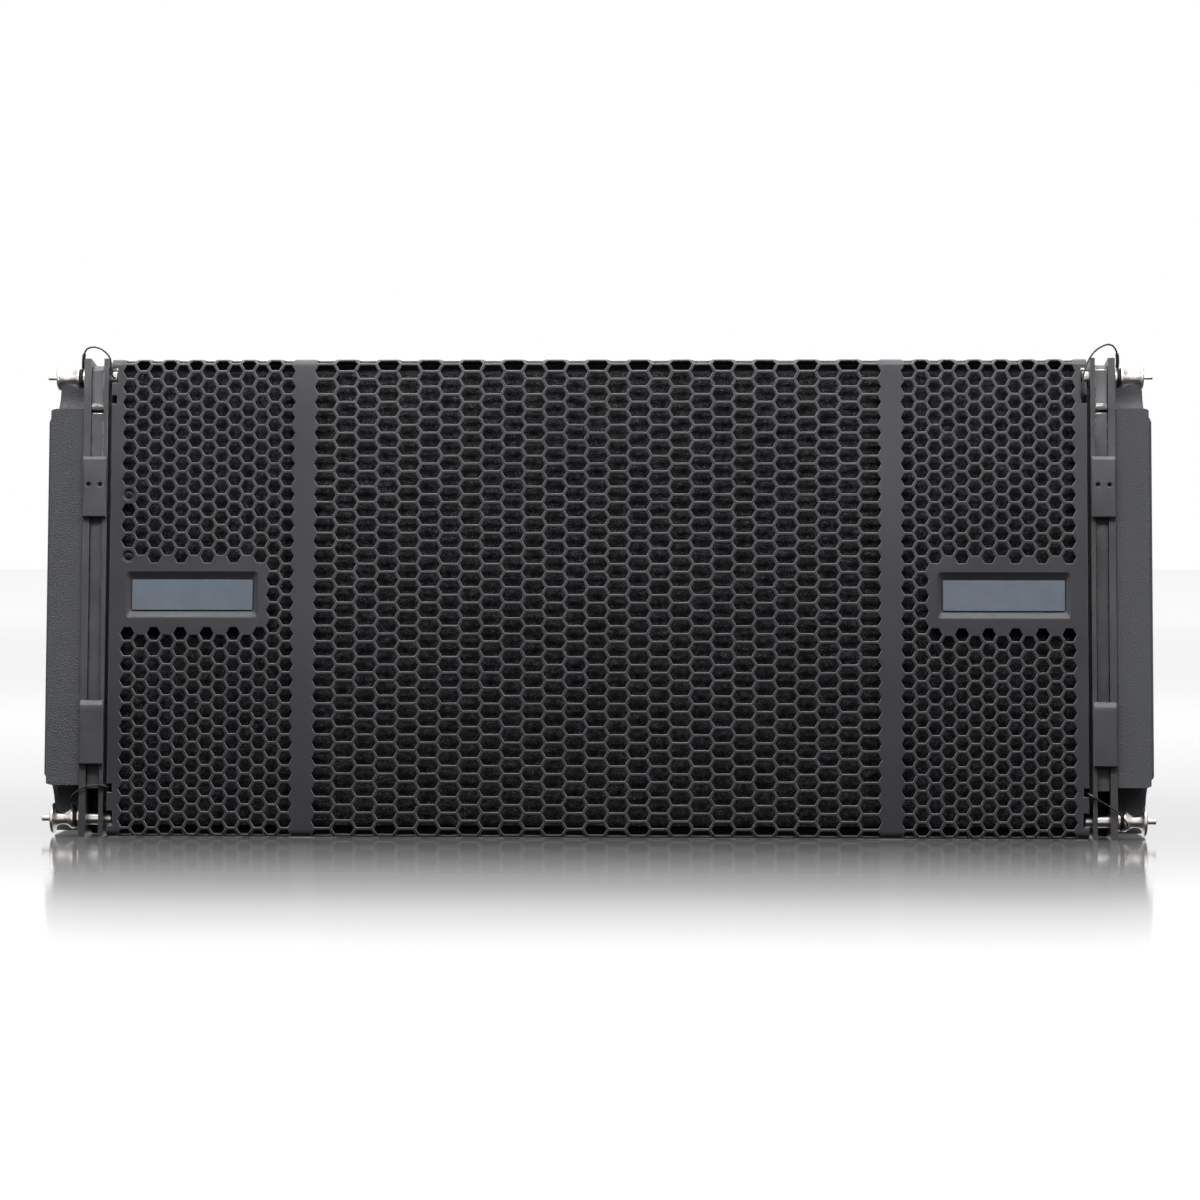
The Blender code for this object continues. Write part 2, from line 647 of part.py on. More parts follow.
# ---- rear rigging ----
def rear_rigging():
    outer = REAR_SLOT + REAR_WALL
    outline = wedge(REAR_PANEL[1] + GAP, 0.440, 0.0001)
    spine = prism("rear_channel", outline, -outer, outer, "rigging_steel")
    cut(spine, box("rear_slot", (-REAR_SLOT, 0.409, 0.0), (REAR_SLOT, 0.45, HEIGHT)))
    for z in (ARM_PIVOT_Z, *REAR_PIN_Z):
        cut(spine, rod("rear_hole", PIN_HOLE, -0.02, 0.02, REAR_AXIS_Y, z))
    half = 0.009
    length = 0.136
    outline = arc(0, 0, half, 0, 180, 11) + arc(0, -length, half, 180, 360, 11)
    arm = prism("splay_arm", outline, -0.006, 0.006, "rigging_steel")
    arm.location = (0, REAR_AXIS_Y, ARM_PIVOT_Z)
    splay_holes = [-0.0503 - 0.0154 * i for i in range(6)]  # one for every two degrees of splay
    for offset in (0.0, *splay_holes):
        cut(arm, rod("splay_hole", PIN_HOLE, -0.02, 0.02, REAR_AXIS_Y, ARM_PIVOT_Z + offset, 16))
    head = 0.0072
    bolt = turned(
        "splay_pivot_bolt",
        [(0, 0.0160), (head, 0.0160), (head, outer + GAP), (PIN_R, outer + GAP), (PIN_R, -outer - GAP),
         (head, -outer - GAP), (head, -0.0160), (0, -0.0160)],
        "nickel_steel", 16,
    )
    bolt.location = (0, REAR_AXIS_Y, ARM_PIVOT_Z)
    bolt.rotation_euler = (0, pi / 2, 0)
    for level, z in zip(("upper", "lower"), REAR_PIN_Z):
        lock_pin(f"rear_pin_{level}", "small", 0.0125 - 0.3372, 1, REAR_AXIS_Y, z, foot=-0.0165)


# ---- amplifier, controls and sockets ----
def face_rear(part, x, y, z):
    part.location = (x, y, z)
    part.rotation_euler = (-pi / 2, 0, 0)


def amplifier():
    low_x, high_x, low_z, high_z = CONTROL
    fins, pitch = 21, 0.0123
    outline = [(-high_x, PLATE_BACK), (-low_x, PLATE_BACK)]
    base, tip = PLATE_BACK + 0.004, 0.426
    start = (low_x + high_x - (fins - 1) * pitch) / 2
    for i in range(fins):
        x = -start - i * pitch
        outline += [(x + 0.0013, base), (x + 0.0009, tip), (x - 0.0009, tip), (x - 0.0013, base)]
    outline[2:2] = [(-low_x, base)]
    outline += [(-high_x, base)]
    prism("amplifier_heatsink", outline, low_z, high_z, "black_aluminium", UPRIGHT)

    board = box("amplifier_board", (-0.268, 0.3700, 0.097), (-0.052, 0.3720, 0.213), "circuit_board")
    blocks = [
        ((-0.250, 0.3715, 0.110), (-0.200, 0.3860, 0.200)),
        ((-0.180, 0.3715, 0.120), (-0.140, 0.3960, 0.160)),
        ((-0.120, 0.3715, 0.110), (-0.070, 0.3880, 0.195)),
    ]
    for low, high in blocks:
        cut(board, box("board_block", low, high), how="UNION")
    supply = box("power_supply", (0.060, 0.300, 0.098), (0.250, 0.365, 0.212), "black_aluminium")
    round_edges(supply, 0.003, 1)

    plate = box(
        "control_plate", (low_x, PLATE_BACK, low_z), (high_x, PLATE_FACE, high_z), "black_aluminium"
    )
    for name, (x, z, finish) in SOCKETS.items():
        hole = turned("socket_hole", [(0, 0.01), (0.0121, 0.01), (0.0121, -0.01), (0, -0.01)], steps=20)
        face_rear(hole, x, PLATE_BACK, z)
        cut(plate, hole)
        socket = turned(
            name,
            [(0, -0.014), (0.0088, -0.014), (0.0088, 0.0035), (0.0150, 0.0035), (0.0156, 0.0025),
             (0.0156, 0.0003),
             (0.0118, 0.0003), (0.0118, -0.019), (0, -0.019)],
            finish, 20,
        )
        face_rear(socket, x, PLATE_FACE, z)
    for name, (x, z) in SELECTORS.items():
        hole = turned("shaft_hole", [(0, 0.01), (0.0035, 0.01), (0.0035, -0.01), (0, -0.01)], steps=12)
        face_rear(hole, x, PLATE_BACK, z)
        cut(plate, hole)
        knob = turned(
            name,
            [(0, 0.012), (0.0062, 0.012), (0.0070, 0.0112), (0.0074, 0.0006), (0.0030, 0.0006),
             (0.0030, -0.006),
             (0, -0.006)],
            "socket_plastic", 20,
        )
        face_rear(knob, x, PLATE_FACE, z)
    x, z = RESET
    hole = turned("button_hole", [(0, 0.01), (0.0045, 0.01), (0.0045, -0.01), (0, -0.01)], steps=14)
    face_rear(hole, x, PLATE_BACK, z)
    cut(plate, hole)
    reset = turned(
        "reset_button", [(0, 0.003), (0.0036, 0.003), (0.0041, 0.0025), (0.0041, -0.006), (0, -0.006)],
        "socket_plastic", 14,
    )
    face_rear(reset, x, PLATE_FACE, z)


cabinet()
side_panels()
grille()
woofers()
horn()
front_rigging()
lanyards()
rear_rigging()
amplifier()

# ---- lean the whole module back onto its bottom panel ----
module = bpy.data.objects.new("module_lean", None)
parts.objects.link(module)
module.rotation_euler = (-WEDGE, 0, 0)
module.location = (0, -BOX_MIDDLE_Y, 0)
for thing in list(parts.objects) + list(cutters.objects):
    if thing != module:
        thing.parent = module
for thing in parts.objects:
    if thing.type == "MESH":
        thing.data.shade_smooth()
        thing.data.set_sharp_from_angle(angle=radians(35))
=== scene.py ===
from math import ceil, cos, pi, radians, sin, tau

import bmesh
import bpy
from mathutils import Matrix, Vector, noise


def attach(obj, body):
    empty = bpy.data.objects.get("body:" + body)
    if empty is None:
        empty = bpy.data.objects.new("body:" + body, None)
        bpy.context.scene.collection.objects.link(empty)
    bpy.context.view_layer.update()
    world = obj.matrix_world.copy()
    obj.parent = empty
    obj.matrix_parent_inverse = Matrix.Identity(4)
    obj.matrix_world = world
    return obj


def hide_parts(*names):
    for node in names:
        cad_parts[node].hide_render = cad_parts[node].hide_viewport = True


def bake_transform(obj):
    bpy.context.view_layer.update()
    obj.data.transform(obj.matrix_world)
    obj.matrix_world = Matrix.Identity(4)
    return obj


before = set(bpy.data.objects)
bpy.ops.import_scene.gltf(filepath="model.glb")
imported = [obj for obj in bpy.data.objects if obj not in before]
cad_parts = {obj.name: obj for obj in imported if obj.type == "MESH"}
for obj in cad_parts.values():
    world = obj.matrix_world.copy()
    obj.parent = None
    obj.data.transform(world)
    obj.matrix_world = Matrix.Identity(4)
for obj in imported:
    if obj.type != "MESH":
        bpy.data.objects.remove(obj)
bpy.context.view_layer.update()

# ---- camera, floor and lights ----
# A long lens close to level with the grille, a pale polished floor, and soft
# light that comes mostly from above, so that the front darkens downwards.
CAMERA_PLACE = (0.0728, -2.4891, 0.1872)
CAMERA_TURN = (89.17, -0.053, 1.779)
LENS = 105
FLOOR_HALF = 40.0
FLOOR_WHITE = (0.93, 0.93, 0.93, 1)
FLOOR_GLOW = 0.36
POLISH = ((0.23, 0.93), (0.52, 0.73), (0.685, 0.52), (0.87, 0.33), (1.02, 0.22), (1.31, 0.10),
          (1.65, 0.0))
BACKDROP_AWAY = 30.0
LIGHTS = {
    "top_light": {"place": (0.0, 0.1, 2.4), "tilt": 0, "size": (3.0, 2.2), "power": 45},
    "front_strip": {"place": (0.0, -0.56, 0.66), "tilt": 66, "size": (1.5, 0.14), "power": 8.0},
    "cheek_strip": {"place": (0.0, -1.7, 1.0), "tilt": 66, "size": (2.6, 0.5), "power": 26},
    "pin_card": {"place": (0.0, -1.5, 0.25), "tilt": 88, "size": (2.6, 1.0), "power": 10},
    "rear_strip": {"place": (0.0, 1.3, 1.3), "tilt": -48, "size": (1.7, 0.5), "power": 12},
    "left_side": {
        "place": (-1.9, -1.2, 0.7), "tilt": 90, "turn": -58, "size": (0.8, 1.0), "power": 4,
    },
    "right_side": {
        "place": (1.9, -1.2, 0.7), "tilt": 90, "turn": 58, "size": (0.8, 1.0), "power": 4,
    },
}
SKY_LOW, SKY_HIGH, SKY_FRONT = 0.06, 1.25, 0.25

camera = bpy.data.objects.new("camera", bpy.data.cameras.new("camera"))
camera.data.lens = LENS
camera.data.sensor_width = 36
camera.data.clip_end = 200
camera.location = CAMERA_PLACE
camera.rotation_euler = [radians(angle) for angle in CAMERA_TURN]
bpy.context.scene.collection.objects.link(camera)
bpy.context.scene.camera = camera
bpy.context.scene.view_settings.view_transform = "Standard"


def node(tree, kind, inputs=None, **settings):
    """A shader node; an input is a plain value or another node's output."""
    made = tree.nodes.new(kind)
    for key, value in settings.items():
        setattr(made, key, value)
    for key, value in (inputs or {}).items():
        if isinstance(value, bpy.types.NodeSocket):
            tree.links.new(value, made.inputs[key])
        else:
            made.inputs[key].default_value = value
    return made


def mixed(tree, mask, first, second):
    """The colour that goes from first to second as the mask goes from 0 to 1."""
    made = node(tree, "ShaderNodeMix", {0: mask, 6: first, 7: second}, data_type="RGBA")
    return made.outputs[2]


def between(tree, value, low, high, to_low=0.0, to_high=1.0):
    """A value stretched from one range to another, and held at its ends."""
    names = ("Value", "From Min", "From Max", "To Min", "To Max")
    made = node(tree, "ShaderNodeMapRange", dict(zip(names, (value, low, high, to_low, to_high))))
    return made.outputs["Result"]


def product(tree, first, second):
    made = node(tree, "ShaderNodeMath", {0: first, 1: second}, operation="MULTIPLY")
    return made.outputs[0]


def object_place(tree):
    return tree.nodes.new("ShaderNodeTexCoord").outputs["Object"]


def new_finish(name):
    """A new material, with its nodes and its main shader."""
    made = bpy.data.materials.new(name)
    made.use_nodes = True
    return made, made.node_tree, made.node_tree.nodes["Principled BSDF"]


def stage_plane(name, size, place):
    """A flat stage piece that throws no light back onto the object."""
    shape = bmesh.new()
    bmesh.ops.create_grid(shape, x_segments=8, y_segments=8, size=size)
    bmesh.ops.transform(shape, matrix=place, verts=shape.verts)
    mesh = bpy.data.meshes.new(name)
    shape.to_mesh(mesh)
    shape.free()
    made = bpy.data.objects.new(name, mesh)
    bpy.context.scene.collection.objects.link(made)
    finish, tree, _ = new_finish(name)
    mesh.materials.append(finish)
    made.visible_diffuse = False
    return made, tree


# The floor is polished close to the object and matt further away.
floor, tree = stage_plane("pale_floor", FLOOR_HALF, Matrix())
floor.visible_glossy = False
shader = tree.nodes["Principled BSDF"]
for label, value in {
    "Base Color": FLOOR_WHITE, "Roughness": 0.9, "Specular IOR Level": 0.0,
    "Emission Color": FLOOR_WHITE, "Emission Strength": FLOOR_GLOW,
}.items():
    shader.inputs[label].default_value = value
spot = node(tree, "ShaderNodeSeparateXYZ", {0: object_place(tree)})
ramp = node(tree, "ShaderNodeFloatCurve", {"Value": product(tree, spot.outputs["Y"], -0.5)})
line = ramp.mapping.curves[0]
line.points[0].location = (0.0, POLISH[0][1])
line.points[1].location = (1.0, 0.0)
for distance, share in POLISH:
    line.points.new(distance / 2, share)
ramp.mapping.update()
gloss = node(tree, "ShaderNodeBsdfGlossy", {"Roughness": 0.10})
blend = node(tree, "ShaderNodeMixShader", {
    0: ramp.outputs[0], 1: shader.outputs[0], 2: gloss.outputs[0],
})
tree.links.new(blend.outputs[0], tree.nodes["Material Output"].inputs["Surface"])

# A white wall far behind, which only the camera and the polished floor see.
wall_place = Matrix.Translation((0, BACKDROP_AWAY, 0)) @ Matrix.Rotation(pi / 2, 4, "X")
_, tree = stage_plane("white_backdrop", FLOOR_HALF, wall_place)
glow = tree.nodes.new("ShaderNodeEmission")
tree.links.new(glow.outputs[0], tree.nodes["Material Output"].inputs["Surface"])

for name, facts in LIGHTS.items():
    lamp = bpy.data.lights.new(name, "AREA")
    lamp.shape = "RECTANGLE"
    lamp.size, lamp.size_y = facts["size"]
    lamp.energy = facts["power"]
    holder = bpy.data.objects.new(name, lamp)
    holder.location = facts["place"]
    holder.rotation_euler = (radians(facts["tilt"]), 0, radians(facts.get("turn", 0)))
    holder.visible_camera = False
    bpy.context.scene.collection.objects.link(holder)
    if name in ("front_strip", "cheek_strip", "pin_card"):
        holder.light_linking.receiver_collection = bpy.data.collections.new(f"{name}_lights")


def light_link(thing, light, state):
    """Keeps a lamp off a thing, or lets it light only the things it is given."""
    receivers = bpy.data.objects[light].light_linking.receiver_collection
    receivers.objects.link(thing)
    receivers.collection_objects[-1].light_linking.link_state = state


light_link(floor, "front_strip", "EXCLUDE")

# White to the camera; as a light it is bright overhead and dim at the horizon.
sky = bpy.data.worlds.new("studio")
sky.use_nodes = True
bpy.context.scene.world = sky
tree = sky.node_tree
lighting = tree.nodes["Background"]
lighting.inputs["Color"].default_value = (1, 1, 1, 1)
looking = tree.nodes.new("ShaderNodeTexCoord").outputs["Generated"]
way = node(tree, "ShaderNodeSeparateXYZ", {0: looking})
fade = between(tree, way.outputs["Z"], 0.0, 0.9, SKY_LOW, SKY_HIGH)
front = between(tree, way.outputs["Y"], -0.8, 0.3, SKY_FRONT)
tree.links.new(product(tree, fade, front), lighting.inputs["Strength"])
seen = node(tree, "ShaderNodeBackground", {"Color": (1, 1, 1, 1)})
ray = tree.nodes.new("ShaderNodeLightPath")
choice = node(tree, "ShaderNodeMixShader", {
    0: ray.outputs["Is Camera Ray"], 1: lighting.outputs[0], 2: seen.outputs[0],
})
tree.links.new(choice.outputs[0], tree.nodes["World Output"].inputs["Surface"])


# ---- lanyards ----
# Four thin black coated wires that keep the front pins from being lost. Each
# has a crimped eye on its pin's collar and a crimped end in the grille's edge.
WEDGE = radians(5)
BOX_MIDDLE_Y = 0.23130
LEAN = Matrix.Translation((0, -BOX_MIDDLE_Y, 0)) @ Matrix.Rotation(-WEDGE, 4, "X")
SIDES = {"left": -1, "right": 1}
LANYARD = 0.0012  # diameter
LANYARD_STEP = 0.0028
LANYARDS = {
    ("left", "top"): [
        (0.3394, 0.0140, 0.3090), (0.3388, 0.0098, 0.3124), (0.3372, 0.0044, 0.3170),
        (0.3347, 0.0012, 0.3199), (0.3295, 0.0004, 0.3207), (0.3238, 0.0003, 0.3183),
        (0.3196, 0.0006, 0.3133), (0.3192, 0.0014, 0.3079), (0.3187, 0.0022, 0.3027),
        (0.3166, 0.0032, 0.3001),
    ],
    ("right", "top"): [
        (0.3394, 0.0140, 0.3090), (0.3392, 0.0094, 0.3122), (0.3378, 0.0038, 0.3179),
        (0.3345, 0.0008, 0.3215), (0.3303, 0.0003, 0.3216), (0.3240, 0.0000, 0.3179),
        (0.3197, -0.0006, 0.3123), (0.3170, -0.0012, 0.3057), (0.3156, -0.0013, 0.3002),
        (0.3152, -0.0013, 0.2922), (0.3155, -0.0009, 0.2879), (0.3160, 0.0024, 0.2856),
    ],
    ("left", "low"): [
        (0.3398, 0.0086, 0.0184), (0.3408, 0.0056, 0.0209), (0.3418, 0.0028, 0.0239),
        (0.3402, 0.0004, 0.0273), (0.3356, -0.0006, 0.0309), (0.3311, -0.0008, 0.0331),
        (0.3240, -0.0007, 0.0337), (0.3193, -0.0004, 0.0331), (0.3166, 0.0024, 0.0321),
    ],
    ("right", "low"): [
        (0.3430, 0.0074, 0.0077), (0.3430, 0.0040, 0.0091), (0.3418, 0.0012, 0.0119),
        (0.3370, -0.0008, 0.0173), (0.3318, -0.0010, 0.0213), (0.3245, -0.0010, 0.0255),
        (0.3193, -0.0006, 0.0289), (0.3166, 0.0024, 0.0307),
    ],
}
CRIMP = 0.0012  # radius
CRIMP_LENGTH = 0.0052
BOOT_LENGTH = {"top": 0.0130, "low": 0.0052}  # of the sleeve at the pin


def shared_group(name, inputs, outputs):
    """An empty shader group; returns it with its input and output nodes."""
    tree = bpy.data.node_groups.new(name, "ShaderNodeTree")
    for label, value in inputs.items():
        made = tree.interface.new_socket(label, in_out="INPUT", socket_type="NodeSocketFloat")
        made.default_value = value
    for label in outputs:
        tree.interface.new_socket(label, in_out="OUTPUT", socket_type="NodeSocketFloat")
    return tree, tree.nodes.new("NodeGroupInput"), tree.nodes.new("NodeGroupOutput")


def in_group(tree, name, **values):
    """A shared group placed in a material with its own values."""
    made = tree.nodes.new("ShaderNodeGroup")
    made.node_tree = bpy.data.node_groups[name]
    for label, value in values.items():
        made.inputs[label.capitalize()].default_value = value
    return made


def speckle(tree, scale, detail, rough):
    """Cloudy noise that stays with the piece."""
    made = node(tree, "ShaderNodeTexNoise", {
        "Vector": object_place(tree), "Scale": scale, "Detail": detail, "Roughness": rough,
    })
    return made.outputs["Fac"]


def bumped(tree, height, strength, distance):
    """Gives a material's main shader a relief."""
    bump = node(tree, "ShaderNodeBump", {
        "Height": height, "Strength": strength, "Distance": distance,
    })
    tree.links.new(bump.outputs["Normal"], tree.nodes["Principled BSDF"].inputs["Normal"])


# The fine pebble of a sprayed or baked coat, with slow cloudy changes of tone.
tree, given, result = shared_group(
    "coat_relief", {"Grain": 900.0, "Cloud": 14.0}, ("Height", "Tone")
)
pebble = speckle(tree, given.outputs["Grain"], 3.0, 0.6)
cloud = speckle(tree, given.outputs["Cloud"], 5.0, 0.62)
tree.links.new(pebble, result.inputs["Height"])
tree.links.new(between(tree, cloud, 0.32, 0.68), result.inputs["Tone"])

# Paint rubbed through along broken edges, which carry a face value named edge.
tree, given, result = shared_group("edge_wear", {"Amount": 0.5, "Scale": 90.0}, ("Mask",))
edge = node(tree, "ShaderNodeAttribute", attribute_name="edge")
chips = speckle(tree, given.outputs["Scale"], 6.0, 0.7)
bare = node(tree, "ShaderNodeMath", {0: 0.78, 1: product(tree, given.outputs["Amount"], 0.42)},
            operation="SUBTRACT")
start = between(tree, chips, 0.0, 1.0)
cutoff = node(tree, "ShaderNodeMath", {0: start, 1: bare.outputs[0]}, operation="SUBTRACT")
sharpened = between(tree, cutoff.outputs[0], 0.0, 0.05)
tree.links.new(product(tree, sharpened, edge.outputs["Fac"]), result.inputs["Mask"])

# Dust that settles on what faces up.
tree, given, result = shared_group("settled_dust", {"Amount": 0.2, "Scale": 60.0}, ("Mask",))
surface = tree.nodes.new("ShaderNodeNewGeometry")
facing = node(tree, "ShaderNodeSeparateXYZ", {0: surface.outputs["Normal"]})
level = between(tree, facing.outputs["Z"], 0.35, 0.95)
specks = speckle(tree, given.outputs["Scale"], 8.0, 0.75)
patchy = between(tree, specks, 0.38, 0.72)
tree.links.new(
    product(tree, product(tree, level, patchy), given.outputs["Amount"]), result.inputs["Mask"]
)

FLAT_AREA = 0.0004  # a face larger than this, in square metres, is a flat one
DUST = (0.32, 0.31, 0.29, 1)
BARE_STEEL = (0.46, 0.45, 0.43, 1)


def coated(name, colour, rough, grain=900.0, relief=0.10, cloud=14.0, tone=0.18, wear=0.0,
           bare=BARE_STEEL, dust=0.15, metal=0.0, spread=0.08, depth=0.0004, rim=None):
    """A coat or a moulded skin: tone clouds, pebble relief, painted rim highlights, worn edges and
    dust.
    """
    made, tree, shader = new_finish(name)
    coat = in_group(tree, "coat_relief", grain=grain, cloud=cloud)
    darker = [channel * (1 - tone) for channel in colour] + [1]
    lighter = [channel * (1 + tone) for channel in colour] + [1]
    skin = mixed(tree, coat.outputs["Tone"], darker, lighter)
    rub = in_group(tree, "edge_wear", amount=wear)
    # A rim colour is a painted highlight: it makes the faces along broken edges paler.
    if rim:
        rim_highlight_mask = node(tree, "ShaderNodeAttribute", attribute_name="edge")
        skin = mixed(tree, product(tree, rim_highlight_mask.outputs["Fac"], 0.8), skin, rim)
    if wear:
        skin = mixed(tree, rub.outputs["Mask"], skin, bare)
        shine = node(tree, "ShaderNodeMath", {
            0: product(tree, rub.outputs["Mask"], 0.75), 1: metal,
        }, operation="ADD", use_clamp=True)
        tree.links.new(shine.outputs[0], shader.inputs["Metallic"])
    else:
        shader.inputs["Metallic"].default_value = metal
    if dust:
        settled = in_group(tree, "settled_dust", amount=dust)
        skin = mixed(tree, settled.outputs["Mask"], skin, DUST)
    tree.links.new(skin, shader.inputs["Base Color"])
    gloss = between(tree, coat.outputs["Tone"], 0.0, 1.0, rough - spread, rough + spread)
    tree.links.new(gloss, shader.inputs["Roughness"])
    bumped(tree, coat.outputs["Height"], relief, depth)
    return made


def settle(shape, name, finish, body="cabinet", stands_for=(), place=LEAN):
    """Makes a finished mesh of a shape, in its place in the row frame, riding its body."""
    bmesh.ops.transform(shape, matrix=place, verts=shape.verts)
    for face in shape.faces:
        face.smooth = face.calc_area() < FLAT_AREA
    for border in shape.edges:
        border.smooth = border.calc_face_angle(0) < radians(32)
    mesh = bpy.data.meshes.new(name)
    shape.to_mesh(mesh)
    shape.free()
    mesh.materials.append(finish)
    piece = bpy.data.objects.new(name, mesh)
    bpy.context.scene.collection.objects.link(piece)
    if body:
        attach(piece, body)
    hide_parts(*stands_for)
    return piece


def smooth_route(points, step):
    """Evenly spaced points of a Catmull-Rom curve through a route."""
    line = [Vector(p) for p in points]
    line = [2 * line[0] - line[1]] + line + [2 * line[-1] - line[-2]]
    fine = []
    for p0, p1, p2, p3 in zip(line, line[1:], line[2:], line[3:]):
        for i in range(12):
            t = i / 12
            fine.append(
                0.5 * (2 * p1 + (p2 - p0) * t + (2 * p0 - 5 * p1 + 4 * p2 - p3) * t**2
                       + (3 * p1 - p0 - 3 * p2 + p3) * t**3)
            )
    fine.append(line[-2])
    total = sum((b - a).length for a, b in zip(fine, fine[1:]))
    count = ceil(total / step)
    spaced, walked, goal = [fine[0]], 0.0, total / count
    for a, b in zip(fine, fine[1:]):
        span = (b - a).length
        while goal <= walked + span and len(spaced) < count:
            spaced.append(a.lerp(b, (goal - walked) / span))
            goal += total / count
        walked += span
    return spaced + [fine[-1]]


def shape_of(curve):
    """A curve or a text made a bmesh shape."""
    holder = bpy.data.objects.new(curve.name, curve)
    bpy.context.scene.collection.objects.link(holder)
    mesh = bpy.data.meshes.new_from_object(
        holder.evaluated_get(bpy.context.evaluated_depsgraph_get())
    )
    bpy.data.objects.remove(holder)
    shape = bmesh.new()
    shape.from_mesh(mesh)
    bpy.data.meshes.remove(mesh)
    return shape


def round_wire(line, radius):
    """A round wire or sleeve along a line of points."""
    guide = bpy.data.curves.new("wire", "CURVE")
    guide.dimensions = "3D"
    guide.bevel_depth = radius
    guide.bevel_resolution = 3
    guide.use_fill_caps = True
    run = guide.splines.new("POLY")
    run.points.add(len(line) - 1)
    for point, place in zip(run.points, line):
        point.co = (*place, 1)
    shape = shape_of(guide)
    bmesh.ops.remove_doubles(shape, verts=shape.verts, dist=1e-7)
    bmesh.ops.recalc_face_normals(shape, faces=shape.faces)
    return shape


lanyard_coat = coated("lanyard_coat", (0.020, 0.020, 0.022), 0.38, grain=2400, relief=0.25,
                      cloud=120, tone=0.3, dust=0.2)
crimp_metal = coated("crimp_metal", (0.055, 0.055, 0.058), 0.36, grain=1500, relief=0.2,
                     cloud=200, tone=0.35, metal=0.7, dust=0.1)
for (word, level), route in LANYARDS.items():
    side = SIDES[word]
    line = [LEAN @ p for p in smooth_route([(side * x, y, z) for x, y, z in route], LANYARD_STEP)]
    name = f"{level}_{word}"
    wire = settle(round_wire(line, LANYARD / 2), f"lanyard_wire_{name}", lanyard_coat,
                  None, [f"lanyard_{name}"], Matrix())
    pin_body = f"front_pin_{name}"
    boot = BOOT_LENGTH[level]
    ends = (("pin", pin_body, line[:6], boot), ("grille", "cabinet", line[-4:-1], CRIMP_LENGTH))
    for end, body, at, reach in ends:
        sleeve = round_wire(smooth_route(at, reach / 6)[:7], CRIMP)
        settle(sleeve, f"lanyard_crimp_{name}_{end}", crimp_metal, body,
                   (), Matrix())
    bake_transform(wire)


# ---- grille ----
# A steel sheet punched with staggered hexagons, wide ones over the horn, then
# folded back over the cabinet's front edges at top and bottom. It is powder
# coated dark grey and has two pressed recesses for the badge plates.
HEIGHT = 0.3135
GRILLE_HALF = 0.318
GRILLE_SHEET = 0.0015
GRILLE_DEPTH = 0.014
FOLD = 0.0045  # outer radius
FOLD_ENDS = (0.0051, 0.3084)
FOLD_TURN = radians(95)
FOLD_LIP = 0.0091
HOLE_FLAT = 0.0041  # from a hole's middle to its top or bottom edge
HOLE_POINT = 0.00462
ROW_PITCH = 0.01011
FIRST_ROW = 0.3044
SIDE_PITCH, SIDE_FIRST, SIDE_COLUMNS = 0.00866, 0.306, 13
WIDE_PITCH, WIDE_COLUMNS, WIDE_INSERT = 0.01366, 27, 0.0050
BADGE = (0.2639, 0.1580)
BADGE_MOUTH = (0.0857, 0.0295)
BADGE_FLOOR = (0.0794, 0.0204)
BADGE_DEEP = 0.0033
BADGE_CORNER = 0.0022
PIN_NOTCH, LANYARD_NOTCH = (0.0047, 0.3142), (0.0026, 0.3146)  # half height and inner end
BADGE_COLUMNS = 11
PUNCH_EDGE = 0.00045
SCREW_ROWS = (9, 13)
DIMPLE = 0.0039
PIN_HEIGHTS = (0.0125, 0.3020)
PIN_Y = 0.014
LANYARD_HOLES = {("left", "top"): 0.2860, ("right", "top"): 0.2860,
                 ("left", "low"): 0.0321, ("right", "low"): 0.0307}


def pressed_sheet(outlines, thickness, edge, depth=0.0):
    """A sheet cut to the first outline of (across, up), the others its holes, front at depth."""
    flat = bpy.data.curves.new("sheet", "CURVE")
    flat.dimensions = "2D"
    flat.fill_mode = "BOTH"
    flat.extrude = thickness / 2 - edge
    flat.bevel_depth = edge
    flat.bevel_resolution = 0
    flat.offset = -edge
    for i, outline in enumerate(outlines):
        area = sum(a * d - b * c for (a, b), (c, d) in zip(outline, outline[1:] + outline[:1]))
        if (area > 0) != (i == 0):  # the edge runs one way round, the holes the other
            outline = outline[::-1]
        run = flat.splines.new("POLY")
        run.points.add(len(outline) - 1)
        for point, (x, z) in zip(run.points, outline):
            point.co = (x, z, 0, 1)
        run.use_cyclic_u = True
    shape = shape_of(flat)
    bmesh.ops.remove_doubles(shape, verts=shape.verts, dist=1e-7)
    upright = Matrix.Translation((0, depth + thickness / 2, 0)) @ Matrix.Rotation(pi / 2, 4, "X")
    bmesh.ops.transform(shape, matrix=upright, verts=shape.verts)
    bmesh.ops.recalc_face_normals(shape, faces=shape.faces)
    mark_edges(shape)
    return shape


def mark_edges(shape, faces=None):
    """Gives the small faces along broken edges the value that lets paint wear off them,
    and that a finish's rim colour paints lighter as a highlight.
    """
    layer = shape.faces.layers.float.get("edge") or shape.faces.layers.float.new("edge")
    for face in faces or shape.faces:
        if faces is not None or 0.2 < abs(face.normal.y) < 0.95:
            face[layer] = 1.0


def joined(shape, other):
    """Adds another shape's faces to a shape."""
    mesh = bpy.data.meshes.new("joined")
    other.to_mesh(mesh)
    other.free()
    shape.from_mesh(mesh)
    bpy.data.meshes.remove(mesh)


def block(size, middle=(0, 0, 0)):
    shape = bmesh.new()
    bmesh.ops.create_cube(shape, size=1)
    bmesh.ops.scale(shape, vec=size, verts=shape.verts)
    bmesh.ops.translate(shape, vec=middle, verts=shape.verts)
    return shape


def circle(x, z, radius, count=20):
    return [(x + radius * cos(tau * i / count), z + radius * sin(tau * i / count))
            for i in range(count)]


def hexagon(x, z, insert=0.0):
    reach, half = HOLE_POINT + insert / 2, HOLE_POINT / 2 + insert / 2
    corners = [(reach, 0), (half, HOLE_FLAT), (-half, HOLE_FLAT), (-reach, 0),
               (-half, -HOLE_FLAT), (half, -HOLE_FLAT)]
    return [(x + a, z + b) for a, b in corners]


